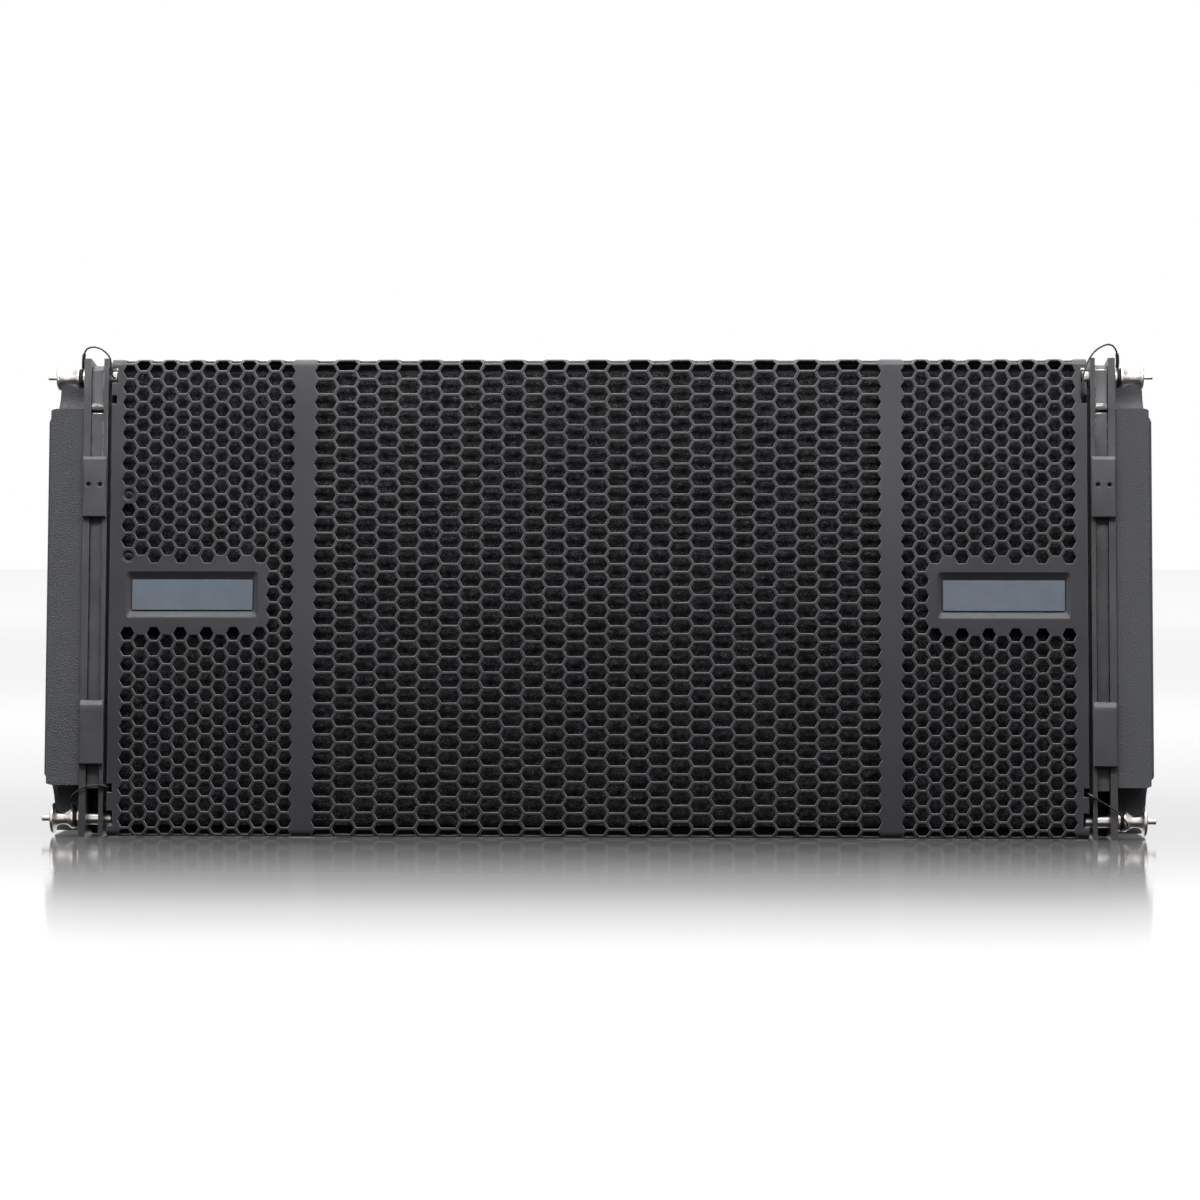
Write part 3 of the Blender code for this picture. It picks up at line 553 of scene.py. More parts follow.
def rounded_box(x, z, width, height, radius, count=5):
    points = []
    for turn, (sx, sz) in enumerate(((1, 1), (-1, 1), (-1, -1), (1, -1))):
        for i in range(count):
            angle = pi / 2 * (turn + i / (count - 1))
            points.append((x + sx * (width / 2 - radius) + radius * cos(angle),
                           z + sz * (height / 2 - radius) + radius * sin(angle)))
    return points


def folded(place):
    """Where a point of the flat sheet lands when its top and bottom are folded back."""
    x, depth, run = place
    middle, way = (FOLD_ENDS[1], 1) if run > HEIGHT / 2 else (FOLD_ENDS[0], -1)
    beyond = (run - middle) * way
    if beyond <= 0:
        return place
    turn = min(beyond / FOLD, FOLD_TURN)
    rest = beyond - FOLD * turn
    radius = FOLD - depth
    return Vector((x, FOLD - radius * cos(turn) + rest * sin(turn),
                   middle + way * (radius * sin(turn) + rest * cos(turn))))


def row_heights(odd):
    """Heights of a column's holes; the other columns are set half a pitch lower."""
    start = FIRST_ROW + (ROW_PITCH if odd else ROW_PITCH / 2)
    return [start - ROW_PITCH * k for k in range(32)]


def sheet_outline():
    """The flat sheet's own edge, notched at its sides for the pins and the lanyards."""
    ends = (FOLD_ENDS[0] - FOLD * FOLD_TURN - FOLD_LIP, FOLD_ENDS[1] + FOLD * FOLD_TURN + FOLD_LIP)
    points = []
    for word, side in SIDES.items():
        holes = [(z, *PIN_NOTCH) for z in PIN_HEIGHTS]
        holes += [(z, *LANYARD_NOTCH) for (w, _), z in LANYARD_HOLES.items() if w == word]
        rim = [(GRILLE_HALF, ends[0])]
        for z, half, inner in sorted(holes):
            rim += [(GRILLE_HALF, z - half), (inner, z - half), (inner, z + half),
                    (GRILLE_HALF, z + half)]
        rim += [(GRILLE_HALF, ends[1])]
        points += [(side * x, z) for x, z in (rim if side > 0 else rim[::-1])]
    return points


outlines = [sheet_outline()]
screw_places = []
for word, side in SIDES.items():
    outlines.append(rounded_box(side * BADGE[0], BADGE[1], *BADGE_MOUTH, BADGE_CORNER))
    for i in range(SIDE_COLUMNS):
        x = side * (SIDE_FIRST - SIDE_PITCH * i)
        for k, z in enumerate(row_heights(i % 2 == 0)):
            beside_badge = (14 if i % 2 == 0 else 13) <= k <= 17
            if i < BADGE_COLUMNS and beside_badge:
                continue
            if side < 0 and i == 0 and k in SCREW_ROWS:
                outlines.append(circle(x, z, DIMPLE))
                screw_places.append((x, z))
            else:
                outlines.append(hexagon(x, z))
for i in range(WIDE_COLUMNS):
    x = (i - (WIDE_COLUMNS - 1) / 2) * WIDE_PITCH
    for z in row_heights(i % 2 == 0):
        outlines.append(hexagon(x, z, WIDE_INSERT))
shape = pressed_sheet(outlines, GRILLE_SHEET, PUNCH_EDGE)
for middle, way in zip(FOLD_ENDS, (-1, 1)):
    for i in range(9):
        height = middle + way * FOLD * FOLD_TURN * i / 8
        bmesh.ops.bisect_plane(
            shape, geom=shape.verts[:] + shape.edges[:] + shape.faces[:], dist=1e-6,
            plane_co=(0, 0, height), plane_no=(0, 0, 1),
        )
for vert in shape.verts:
    vert.co = folded(vert.co)


def pressed_dish(x, z, mouth, floor, depth):
    """A shallow pocket pressed back from its mouth, down sloping sides to a smaller floor."""
    shape = bmesh.new()
    rim = []
    for share, sink in ((0.0, 0.0), (0.07, 0.0002), (0.93, depth - 0.0003), (1.05, depth)):
        width, height = (a + (b - a) * share for a, b in zip(mouth, floor))
        line = rounded_box(x, z, width, height, BADGE_CORNER)
        ring = [shape.verts.new((a, sink, b)) for a, b in line]
        loop = [shape.edges.new(pair) for pair in zip(ring, ring[1:] + ring[:1])]
        if rim:
            bmesh.ops.bridge_loops(shape, edges=rim + loop)
        rim = loop
    bmesh.ops.contextual_create(shape, geom=rim)
    bmesh.ops.recalc_face_normals(shape, faces=shape.faces)
    if max(shape.faces, key=lambda face: face.calc_area()).normal.y > 0:
        bmesh.ops.reverse_faces(shape, faces=shape.faces)
    return shape


FLANGE_ENDS = (0.0173, 0.2972)
FLANGE_SHORT = 0.0012  # by which the side flanges are narrower than the grille is deep
for word, side in SIDES.items():
    joined(shape, pressed_dish(side * BADGE[0], BADGE[1], BADGE_MOUTH, BADGE_FLOOR, BADGE_DEEP))
    cuts = sorted(z for (w, _), z in LANYARD_HOLES.items() if w == word)
    stretches = zip([FLANGE_ENDS[0]] + [z + LANYARD_NOTCH[0] for z in cuts],
                    [z - LANYARD_NOTCH[0] for z in cuts] + [FLANGE_ENDS[1]])
    for low, high in stretches:
        size = (GRILLE_SHEET, GRILLE_DEPTH - FLANGE_SHORT, high - low)
        spot = (side * (GRILLE_HALF - GRILLE_SHEET / 2), GRILLE_DEPTH / 2, (low + high) / 2)
        joined(shape, block(size, spot))
# The rim colour is a painted highlight: the faces along the punched edges are paler, as if
# catching light.
grille_coat = coated("grille_powder_coat", (0.050, 0.049, 0.057), 0.46, grain=1400, relief=0.22,
                     cloud=9, tone=0.10, wear=0.12, dust=0.22, rim=(0.115, 0.113, 0.128, 1))
settle(shape, "perforated_grille", grille_coat,
       stands_for=["front_grille"])


# ---- grille screws ----
# Two small black button screws hold the grille's left edge, each in a round
# dimple pressed into the sheet.
def turned(profile, steps=32):
    """A profile of (radius, height) spun about Z, closed where it meets the axis."""
    shape = bmesh.new()
    ring = [shape.verts.new((r, 0, h)) for r, h in profile]
    lines = [shape.edges.new(pair) for pair in zip(ring, ring[1:])]
    bmesh.ops.spin(shape, geom=ring + lines, axis=(0, 0, 1), angle=tau, steps=steps,
                   use_merge=True)
    bmesh.ops.remove_doubles(shape, verts=shape.verts, dist=1e-7)
    bmesh.ops.recalc_face_normals(shape, faces=shape.faces)
    return shape


def facing_front(x, y, z):
    """Turns a spun shape's own up towards the front, at a place."""
    return Matrix.Translation((x, y, z)) @ Matrix.Rotation(pi / 2, 4, "X")


def socket_screw(radius, height, key, reach=0.004):
    """A button head screw with a six-sided key hole; its seat is at zero."""
    shape = turned([
        (0, height * 0.42), (key * 0.98, height * 0.42), (key, height * 0.46),
        (key, height * 0.98), (key + 0.0002, height), (radius * 0.62, height * 0.94),
        (radius * 0.88, height * 0.62), (radius, height * 0.18), (radius * 0.98, 0),
        (radius * 0.55, -0.0002), (radius * 0.5, -reach), (0, -reach),
    ], 24)
    for vert in shape.verts:
        reach_out = Vector((vert.co.x, vert.co.y)).length
        if 1e-5 < reach_out <= key * 1.01 and vert.co.z > 0:
            angle = Vector((vert.co.x, vert.co.y)).angle_signed(Vector((1, 0)))
            flat = cos(pi / 6) / cos((angle + tau) % (pi / 3) - pi / 6)
            vert.co.x *= flat
            vert.co.y *= flat
    return shape


black_screw = coated("black_screw", (0.030, 0.030, 0.032), 0.34, grain=1800, relief=0.15,
                     cloud=300, tone=0.4, wear=0.3, metal=0.6, dust=0.1)
for label, (x, z) in zip(("upper", "lower"), screw_places):
    dish = turned([(DIMPLE + 0.0001, 0.0001), (DIMPLE - 0.0007, -0.0006), (0.0027, -0.0014),
                   (0.0010, -0.0016), (0, -0.0016)], 32)
    bmesh.ops.reverse_faces(dish, faces=dish.faces)
    settle(dish, f"grille_dimple_{label}", grille_coat,
           place=LEAN @ facing_front(x, 0, z))
    settle(socket_screw(0.0023, 0.0013, 0.0009), f"grille_screw_{label}", black_screw,
           place=LEAN @ facing_front(x, 0.0015, z))


# ---- acoustic foam ----
# A sheet of black open-cell foam behind the grille. It keeps dust off the
# drivers and hides them; its cell struts are painted lighter, as light caught
# on them, and the pores between them are painted dark, as shade.
FOAM_LOW, FOAM_HIGH = (-0.312, 0.0065, 0.0085), (0.312, 0.012, 0.3035)
shape = bmesh.new()
bmesh.ops.create_grid(shape, x_segments=156, y_segments=70, size=0.5)
upright = Matrix.Rotation(pi / 2, 4, "X")
bmesh.ops.transform(shape, matrix=upright, verts=shape.verts)
size = Vector(FOAM_HIGH) - Vector(FOAM_LOW)
bmesh.ops.scale(shape, vec=(size.x, 1, size.z), verts=shape.verts)
middle = (Vector(FOAM_HIGH) + Vector(FOAM_LOW)) / 2
bmesh.ops.translate(shape, vec=(middle.x, FOAM_LOW[1] - 0.0012, middle.z), verts=shape.verts)
front_verts = set(shape.verts)
rim = [edge for edge in shape.edges if edge.is_boundary]
walls = bmesh.ops.extrude_edge_only(shape, edges=rim)
back_rim = [item for item in walls["geom"] if isinstance(item, bmesh.types.BMVert)]
for vert in back_rim:
    vert.co.y = FOAM_HIGH[1]
bmesh.ops.contextual_create(shape, geom=[e for e in shape.edges if e.is_boundary])
for vert in front_verts:
    vert.co.y += 0.0007 * noise.fractal(vert.co * 260, 1.0, 2.0, 4)
bmesh.ops.recalc_face_normals(shape, faces=shape.faces)

foam, tree, shader = new_finish("open_cell_foam")
cells = node(tree, "ShaderNodeTexVoronoi", {"Vector": object_place(tree), "Scale": 820.0},
             feature="DISTANCE_TO_EDGE")
blotches = speckle(tree, 240.0, 5.0, 0.7)
struts = between(tree, cells.outputs["Distance"], 0.02, 0.22, 1.0, 0.0)
# Painted light and shade: the struts are lighter and the pores between them darker.
strut_light_and_pore_shade = product(tree, struts, between(tree, blotches, 0.40, 0.66))
skin = mixed(tree, strut_light_and_pore_shade, (0.0072, 0.0072, 0.008, 1), (0.090, 0.088, 0.094, 1))
tree.links.new(skin, shader.inputs["Base Color"])
shader.inputs["Roughness"].default_value = 0.95
shader.inputs["Specular IOR Level"].default_value = 0.2
bumped(tree, struts, 0.7, 0.0008)
matt = between(tree, blotches, 0.3, 0.7, 0.86, 1.0)
tree.links.new(matt, shader.inputs["Roughness"])
settle(shape, "foam_sheet", foam, stands_for=["acoustic_foam"])


# ---- badge plates ----
# Two blank satin metal plates glued into the grille's pressed recesses. They
# are cut from rolled strip, so their grain runs across.
PLATE_SIZE = (0.079, 0.020)
PLATE_FRONT, PLATE_THICK = 0.0020, 0.0012


# Long fine scratches along one way, from rolling, turning or brushing.
def streak_group(name, stretch):
    """Scratches drawn out along the way whose scale is small."""
    tree, given, result = shared_group(name, {"Fineness": 1.0}, ("Height", "Tone"))
    drawn = node(tree, "ShaderNodeMapping", {"Vector": object_place(tree), "Scale": stretch})
    lines = node(tree, "ShaderNodeTexNoise", {
        "Vector": drawn.outputs[0], "Scale": given.outputs["Fineness"], "Detail": 6.0,
        "Roughness": 0.7,
    })
    haze = speckle(tree, 70.0, 5.0, 0.65)
    tree.links.new(lines.outputs["Fac"], result.inputs["Height"])
    tree.links.new(between(tree, haze, 0.3, 0.7), result.inputs["Tone"])


streak_group("rolled_streaks", (40, 1400, 1400))
streak_group("turned_streaks", (2600, 160, 160))


def worked_metal(name, colour, tarnish, rough, streaks, relief=0.25, metal=1.0):
    """Bare metal with tool lines, hazy roughness and a little tarnish."""
    made, tree, shader = new_finish(name)
    grain = in_group(tree, streaks)
    tint = between(tree, grain.outputs["Tone"], 0.25, 1.0, 0.0, 0.85)
    base = mixed(tree, tint, (*tarnish, 1), (*colour, 1))
    settled = in_group(tree, "settled_dust", amount=0.12)
    tree.links.new(mixed(tree, settled.outputs["Mask"], base, DUST), shader.inputs["Base Color"])
    gloss = between(tree, grain.outputs["Height"], 0.3, 0.7, rough - 0.07, rough + 0.09)
    tree.links.new(gloss, shader.inputs["Roughness"])
    shader.inputs["Metallic"].default_value = metal
    bumped(tree, grain.outputs["Height"], relief, 0.0001)
    return made


badge_satin = worked_metal("badge_satin", (0.250, 0.295, 0.350), (0.220, 0.262, 0.315), 0.42,
                           "rolled_streaks", 0.18, metal=0.55)
for word, side in SIDES.items():
    outline = rounded_box(side * BADGE[0], BADGE[1], *PLATE_SIZE, 0.0008)
    shape = pressed_sheet([outline], PLATE_THICK, 0.0003, PLATE_FRONT)
    settle(shape, f"blank_badge_{word}", badge_satin,
           stands_for=[f"badge_plate_{word}"])


# ---- side panels ----
# Moulded plastic cheeks with a fine leather grain. Each has a raised middle, a
# round scoop beside each pin so that a finger can reach it, and a handle cup.
tree, given, result = shared_group("leather_grain", {"Pebble": 620.0}, ("Height", "Crease"))
sway = node(tree, "ShaderNodeTexNoise", {
    "Vector": object_place(tree), "Scale": 90.0, "Detail": 2.0,
})
push = node(tree, "ShaderNodeVectorMath", {0: sway.outputs["Color"], 3: 0.004}, operation="SCALE")
moved = node(tree, "ShaderNodeVectorMath", {0: object_place(tree), 1: push.outputs[0]},
             operation="ADD")
hide = node(tree, "ShaderNodeTexVoronoi", {
    "Vector": moved.outputs[0], "Scale": given.outputs["Pebble"], "Randomness": 1.0,
}, feature="DISTANCE_TO_EDGE")
pore = speckle(tree, 1900.0, 3.0, 0.6)
dome = between(tree, hide.outputs["Distance"], 0.0, 0.35)
summed = node(tree, "ShaderNodeMath", {0: dome, 1: product(tree, pore, 0.45)},
              operation="ADD")
tree.links.new(summed.outputs[0], result.inputs["Height"])
# Crease marks the hollows between the pebbles, which the leather finish paints darker as shade.
crease = between(tree, hide.outputs["Distance"], 0.0, 0.10, 1.0, 0.0)
tree.links.new(crease, result.inputs["Crease"])

leather_plastic, tree, shader = new_finish("leather_grain_plastic")
grain = in_group(tree, "leather_grain")
coat = in_group(tree, "coat_relief", grain=500, cloud=8)
skin = mixed(tree, coat.outputs["Tone"], (0.062, 0.064, 0.074, 1), (0.076, 0.078, 0.089, 1))
# Painted shade: the grain's creases are darkened.
painted_crease_shade = product(tree, grain.outputs["Crease"], 0.45)
skin = mixed(tree, painted_crease_shade, skin, (0.036, 0.037, 0.043, 1))
rub = in_group(tree, "edge_wear", amount=0.45, scale=60)
skin = mixed(tree, product(tree, rub.outputs["Mask"], 0.4), skin, (0.17, 0.17, 0.18, 1))
settled = in_group(tree, "settled_dust", amount=0.25)
tree.links.new(mixed(tree, settled.outputs["Mask"], skin, DUST), shader.inputs["Base Color"])
tree.links.new(between(tree, coat.outputs["Tone"], 0, 1, 0.50, 0.62), shader.inputs["Roughness"])
bumped(tree, grain.outputs["Height"], 0.55, 0.0004)


def eased(solid, name, finish, width, body="cabinet"):
    """A solid's own shape with its sharp edges broken by a small radius."""
    shape = bmesh.new()
    shape.from_mesh(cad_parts[solid].data)
    shape.faces.layers.float.new("edge")
    bmesh.ops.remove_doubles(shape, verts=shape.verts, dist=1e-6)
    bmesh.ops.dissolve_limit(shape, angle_limit=radians(0.5), verts=shape.verts,
                             edges=shape.edges)
    sharp = [edge for edge in shape.edges if edge.calc_face_angle(0) > radians(35)]
    made = bmesh.ops.bevel(shape, geom=sharp, offset=width, segments=2, profile=0.5,
                           affect="EDGES", clamp_overlap=True, material=-1)
    mark_edges(shape, made["faces"] or None)
    return settle(shape, name, finish, body, [solid], Matrix())


for word in SIDES:
    cheek = eased(f"side_panel_{word}", f"side_cheek_{word}", leather_plastic,
                  0.0008)
    light_link(cheek, "front_strip", "EXCLUDE")
    light_link(cheek, "cheek_strip", "INCLUDE")


# ---- front channels ----
# Black steel channels down both front edges. The pins pass through their walls
# and the link bar of the module runs inside. Their lips show bare steel.
rigging_black = coated("rigging_black", (0.092, 0.091, 0.098), 0.40, grain=1100, relief=0.18,
                       cloud=22, tone=0.2, wear=0.35, bare=(0.26, 0.255, 0.25, 1), metal=0.15,
                       dust=0.3)
for word in SIDES:
    eased(f"front_channel_{word}", f"rigging_channel_{word}", rigging_black,
          0.0005)


# ---- painted gap shade ----
# A near-black strip fills the gap between each channel and the grille, as painted
# shade: it stands for the darkness in that gap. It stops short of the pins.
GAP_SHADE_SPAN = (0.3182, 0.3203, 0.0045, 0.0140, 0.0190, 0.2940)  # across, back and up, low and high
# Near black, as painted shade in the gap.
gap_shade_finish = coated("gasket_rubber", (0.010, 0.010, 0.010), 0.7, grain=900, relief=0.3)
for word, side in SIDES.items():
    near, far, front, back, low, high = GAP_SHADE_SPAN
    spot = (side * (near + far) / 2, (front + back) / 2, (low + high) / 2)
    strip = block((far - near, back - front, high - low), spot)
    settle(strip, f"edge_gasket_{word}", gap_shade_finish)


# ---- link bars ----
# Flat steel bars that slide up out of the channels into the module above. A
# long hole runs on the upper pin, and a small catch sticks out at the front.
link_black = coated("link_black", (0.108, 0.106, 0.114), 0.36, grain=1000, relief=0.15,
                    cloud=30, tone=0.22, wear=0.7, metal=0.25, dust=0.2)
for word in SIDES:
    eased(f"front_link_bar_{word}", f"link_bar_{word}", link_black, 0.0004,
          f"front_link_{word}")


# ---- slide grips and keepers ----
# The grip is a plate screwed to the link bar, to push it up with a thumb. The
# keeper below it is fixed to the channel and holds the bar in.
GRIP = (0.3206, 0.3364, 0.2087, 0.2487)
KEEPER = (0.3206, 0.3364, 0.0472, 0.0894)
FRONT_PLATE = (-0.0022, 0.0029)  # front face and thickness
GRIP_HOLES, GRIP_HOLE_UP, GRIP_HOLE = (0.32475, 0.33225), 0.2299, 0.0013
GRIP_SLOPE, KEEPER_SLOPE = 0.0022, 0.0039  # the slope along each plate's top
SLOPE_BACK, SLOPE_SKIN = 0.0015, 0.0012  # how far it leans back, and how deep it reaches
TONGUE, TONGUE_PLACE = (0.005, 0.0020, 0.034), (0.3280, 0.0017)


def waisted(side, low_x, high_x, low_z, high_z, waist):
    """A plate's outline, its sides drawn in a little half way up."""
    middle, half = (low_x + high_x) / 2, (high_x - low_x) / 2
    steps = 12
    rise = [low_z + (high_z - low_z) * i / steps for i in range(steps + 1)]
    right = [(middle + half - waist * sin(pi * i / steps) ** 2, z) for i, z in enumerate(rise)]
    left = [(2 * middle - x, z) for x, z in reversed(right)]
    return [(side * x, z) for x, z in right + left]


def sloped(plate, top, drop):
    """Slopes the front of a plate back towards its upper edge."""
    bmesh.ops.bisect_plane(
        plate, geom=plate.verts[:] + plate.edges[:] + plate.faces[:], dist=1e-6,
        plane_co=(0, 0, top - drop), plane_no=(0, 0, 1),
    )
    for vert in plate.verts:
        if vert.co.y < FRONT_PLATE[0] + SLOPE_SKIN and vert.co.z > top - drop:
            vert.co.y += SLOPE_BACK * (vert.co.z - top + drop) / drop


for word, side in SIDES.items():
    outlines = [waisted(side, *GRIP, 0.0005)]
    outlines += [circle(side * x, GRIP_HOLE_UP, GRIP_HOLE) for x in GRIP_HOLES]
    grip = pressed_sheet(outlines, FRONT_PLATE[1], 0.0007, FRONT_PLATE[0])
    sloped(grip, GRIP[3], GRIP_SLOPE)
    for x in GRIP_HOLES:
        screw = socket_screw(GRIP_HOLE * 0.96, 0.0008, 0.0006, 0.001)
        bmesh.ops.transform(screw, matrix=facing_front(side * x, 0.0004, GRIP_HOLE_UP),
                            verts=screw.verts)
        joined(grip, screw)
    spot = (side * TONGUE_PLACE[0], TONGUE_PLACE[1], (GRIP[2] + GRIP[3]) / 2)
    joined(grip, block(TONGUE, spot))
    settle(grip, f"thumb_grip_{word}", rigging_black, f"front_link_{word}",
           [f"slide_grip_{word}"])
    keeper = pressed_sheet([waisted(side, *KEEPER, 0.0003)], FRONT_PLATE[1], 0.0008,
                           FRONT_PLATE[0])
    sloped(keeper, KEEPER[3], KEEPER_SLOPE)
    settle(keeper, f"bar_keeper_{word}", rigging_black,
           stands_for=[f"link_keeper_{word}"])


# ---- front pins ----
# Turned nickel-plated ball-lock pins. The knob has two flanges with a waist
# between them to pull by, and a button in its end frees the two small balls.
KNOB_SIZES = {"small": (0.0080, 0.0069, 0.0046, 0.0014), "large": (0.0099, 0.0067, 0.0038, 0.0019)}


def knob_profile(size):
    """Radius and height of a knob whose outer and inner flange, waist and button are known."""
    flange, rim, waist, button = KNOB_SIZES[size]
    bore = button + 0.0003
    return [
        (0, 0.3466), (bore, 0.3466), (bore, 0.3556), (bore + 0.0003, 0.3560),
        (flange - 0.0008, 0.3560), (flange - 0.0003, 0.3557), (flange, 0.3552),
        (flange, 0.3546), (flange - 0.0003, 0.3541), (flange - 0.0012, 0.3537),
        (waist + 0.0018, 0.3530), (waist + 0.0008, 0.3518), (waist + 0.0002, 0.3503),
        (waist, 0.3486), (waist + 0.0002, 0.3470), (waist + 0.0008, 0.3453),
        (rim - 0.0006, 0.3436), (rim - 0.0001, 0.3426), (rim, 0.3420), (rim - 0.0002, 0.3414),
        (rim - 0.0007, 0.3411), (0.0046, 0.3408), (0.0045, 0.3390), (0.0060, 0.3388),
        (0.0062, 0.3385), (0.0062, 0.3377), (0.0060, 0.3374), (0.0040, 0.3373),
    ]


PIN_TIP = [(0.0040, 0.0010), (0.0036, 0.0004), (0.0030, 0), (0, 0)]  # height from the foot
PIN_FOOT = 0.3158
BUTTON = (0.3502, 0.3625)  # its ends
BALL, BALL_BACK = 0.0009, 0.0024
LOOP, LOOP_WIDE, LOOP_THICK = 0.3399, 0.0012, 0.0008
nickel = worked_metal("turned_nickel", (0.84, 0.81, 0.77), (0.66, 0.62, 0.57), 0.33,
                      "turned_streaks", 0.20)
loop_black = coated("loop_black", (0.016, 0.016, 0.017), 0.42, grain=1800, relief=0.2,
                    cloud=150, tone=0.3, dust=0.15)


def sideways(side, y, z):
    """Turns a spun shape's own up outwards along X, on a side."""
    return LEAN @ Matrix.Translation((0, y, z)) @ Matrix.Rotation(side * pi / 2, 4, "Y")


def lock_pin(name, size, side, y, z, shift=0.0, foot=PIN_FOOT):
    """A pull pin, its button and the black eye of its lanyard, in place."""
    profile = [(r, h + shift) for r, h in knob_profile(size)] + [(r, h + foot) for r, h in PIN_TIP]
    pin = turned(profile, 56)
    for turn in (1, -1):
        ball = bmesh.new()
        bmesh.ops.create_uvsphere(ball, u_segments=16, v_segments=10, radius=BALL)
        spot = (turn * (0.0040 - BALL * 0.45), 0, foot + BALL_BACK)
        bmesh.ops.translate(ball, vec=spot, verts=ball.verts)
        joined(pin, ball)
    place = sideways(side, y, z)
    body = settle(pin, f"{name}_body", nickel, name, [name], place)
    light_link(body, "pin_card", "INCLUDE")
    inner, outer = BUTTON
    radius = KNOB_SIZES[size][3]
    push = turned([
        (0, outer + shift), (radius - 0.0006, outer + shift),
        (radius - 0.0002, outer + shift - 0.0002),
        (radius, outer + shift - 0.0006), (radius, inner + shift), (0, inner + shift),
    ], 32)
    button = settle(push, f"{name}_push", nickel, f"{name}_button",
                    [f"{name}_button"], place)
    light_link(button, "pin_card", "INCLUDE")
    middle = 0.0067 - LOOP_WIDE
    eye = turned([
        (middle + LOOP_WIDE * cos(tau * i / 14), LOOP + shift + LOOP_THICK * sin(tau * i / 14))
        for i in range(15)
    ], 48)
    settle(eye, f"{name}_eye", loop_black, name, (), place)


for word, side in SIDES.items():
    for level, size, height in zip(("low", "top"), ("large", "small"), PIN_HEIGHTS):
        lock_pin(f"front_pin_{level}_{word}", size, side, PIN_Y, height)


# ---- cabinet panels ----
# Birch plywood sprayed with a hard textured black paint. The front baffle
# carries the drivers and the rear panel the amplifier.
hard_paint = coated("textured_cabinet_paint", (0.018, 0.018, 0.020), 0.66, grain=520,
                    relief=0.55, cloud=10, tone=0.12, wear=0.35, bare=(0.20, 0.15, 0.10, 1),
                    dust=0.05, depth=0.0008)
for name in ("top_panel", "bottom_panel", "side_wall_left", "side_wall_right", "rear_panel",
             "front_baffle"):
    eased(name, f"{name}_board", hard_paint, 0.0012)


# ---- woofers, horn and compression driver ----
# Two ten-inch woofers in cast baskets either side of a tall moulded horn with
# its compression driver behind. All of them sit behind the foam.
cast_black = coated("cast_basket_paint", (0.060, 0.060, 0.064), 0.55, grain=600, relief=0.4,
                    metal=0.5)
cone_paper = coated("pressed_cone_paper", (0.016, 0.016, 0.017), 0.85, grain=420, relief=0.8,
                    cloud=30, tone=0.3)
rubber = coated("surround_rubber", (0.012, 0.012, 0.012), 0.62, grain=900, relief=0.2)
magnet_grey = coated("magnet_coat", (0.050, 0.050, 0.053), 0.55, grain=700, relief=0.3, metal=0.3)
horn_black = coated("moulded_horn", (0.016, 0.016, 0.017), 0.45, grain=1200, relief=0.25)
HIDDEN = {
    "woofer_basket": cast_black, "woofer_cone": cone_paper, "woofer_surround": rubber,
    "woofer_magnet": magnet_grey,
}
for word in SIDES:
    for piece, finish in HIDDEN.items():
        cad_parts[f"{piece}_{word}"].material_slots[0].material = finish
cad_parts["horn_waveguide"].material_slots[0].material = horn_black
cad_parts["compression_driver"].material_slots[0].material = magnet_grey


# ---- rear rigging ----
# A slotted steel channel down the middle of the back, with a swinging arm that
# sets the splay between modules and two more ball-lock pins.
REAR_AXIS_Y = 0.424
REAR_PIN_HEIGHTS = {"upper": 0.0890, "lower": 0.0645}
PIVOT_HEIGHT = 0.250
REAR_SHIFT = 0.0125 - 0.3372
BOLT_HALF, BOLT_WALL = 0.0160, 0.0117
eased("rear_channel", "rear_rigging_channel", rigging_black, 0.0006)
eased("splay_arm", "splay_link_arm", link_black, 0.0006, "splay_arm")
bolt = turned([
    (0, BOLT_HALF), (0.0058, BOLT_HALF), (0.0068, BOLT_HALF - 0.0004),
    (0.0072, BOLT_HALF - 0.0012), (0.0072, BOLT_WALL), (0.0040, BOLT_WALL),
    (0.0040, -BOLT_WALL), (0.0072, -BOLT_WALL),
    (0.0072, -BOLT_HALF + 0.0012), (0.0068, -BOLT_HALF + 0.0004), (0.0058, -BOLT_HALF),
    (0, -BOLT_HALF),
], 48)
settle(bolt, "splay_pivot_turned_bolt", nickel, stands_for=["splay_pivot_bolt"],
       place=sideways(1, REAR_AXIS_Y, PIVOT_HEIGHT))
for level, height in REAR_PIN_HEIGHTS.items():
    lock_pin(f"rear_pin_{level}", "small", 1, REAR_AXIS_Y, height, REAR_SHIFT, -0.0165)


# ---- amplifier ----
# A finned black heatsink on the rear panel with the board and the supply
# inside, and a control plate beside it with sockets and two selectors.
PLATE_FACE = 0.4068
CONTROL = (0.030, 0.290, 0.075, 0.235)
black_anodised = coated("black_anodised", (0.022, 0.022, 0.024), 0.38, grain=1500, relief=0.12,
                        cloud=18, tone=0.2, wear=0.5, metal=0.5, dust=0.25)
plate_print = coated("plate_powder", (0.026, 0.026, 0.028), 0.48, grain=1500, relief=0.2,
                     cloud=12, tone=0.15, wear=0.3, dust=0.2)
board_green = coated("board_lacquer", (0.012, 0.075, 0.030), 0.35, grain=300, relief=0.2,
                     cloud=60, tone=0.3)
eased("amplifier_heatsink", "finned_heatsink", black_anodised, 0.0003)
eased("control_plate", "rear_control_plate", plate_print, 0.0004)
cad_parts["amplifier_board"].material_slots[0].material = board_green
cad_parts["power_supply"].material_slots[0].material = black_anodised


def facing_rear(x, y, z):
    """Turns a shape's own up towards the back, at a place, with its top still up."""
    turn = Matrix.Rotation(pi, 4, "Z") @ Matrix.Rotation(pi / 2, 4, "X")
    return Matrix.Translation((x, y, z)) @ turn


low_x, high_x, low_z, high_z = CONTROL
inset, radius = 0.006, 0.0030
shape = bmesh.new()
for x in (low_x + inset, (low_x + high_x) / 2, high_x - inset):
    for z in (low_z + inset, high_z - inset):
        screw = socket_screw(radius, radius * 0.55, radius * 0.42)
        bmesh.ops.transform(screw, matrix=facing_rear(x, PLATE_FACE, z), verts=screw.verts)
        joined(shape, screw)
settle(shape, "control_plate_screws", black_screw)


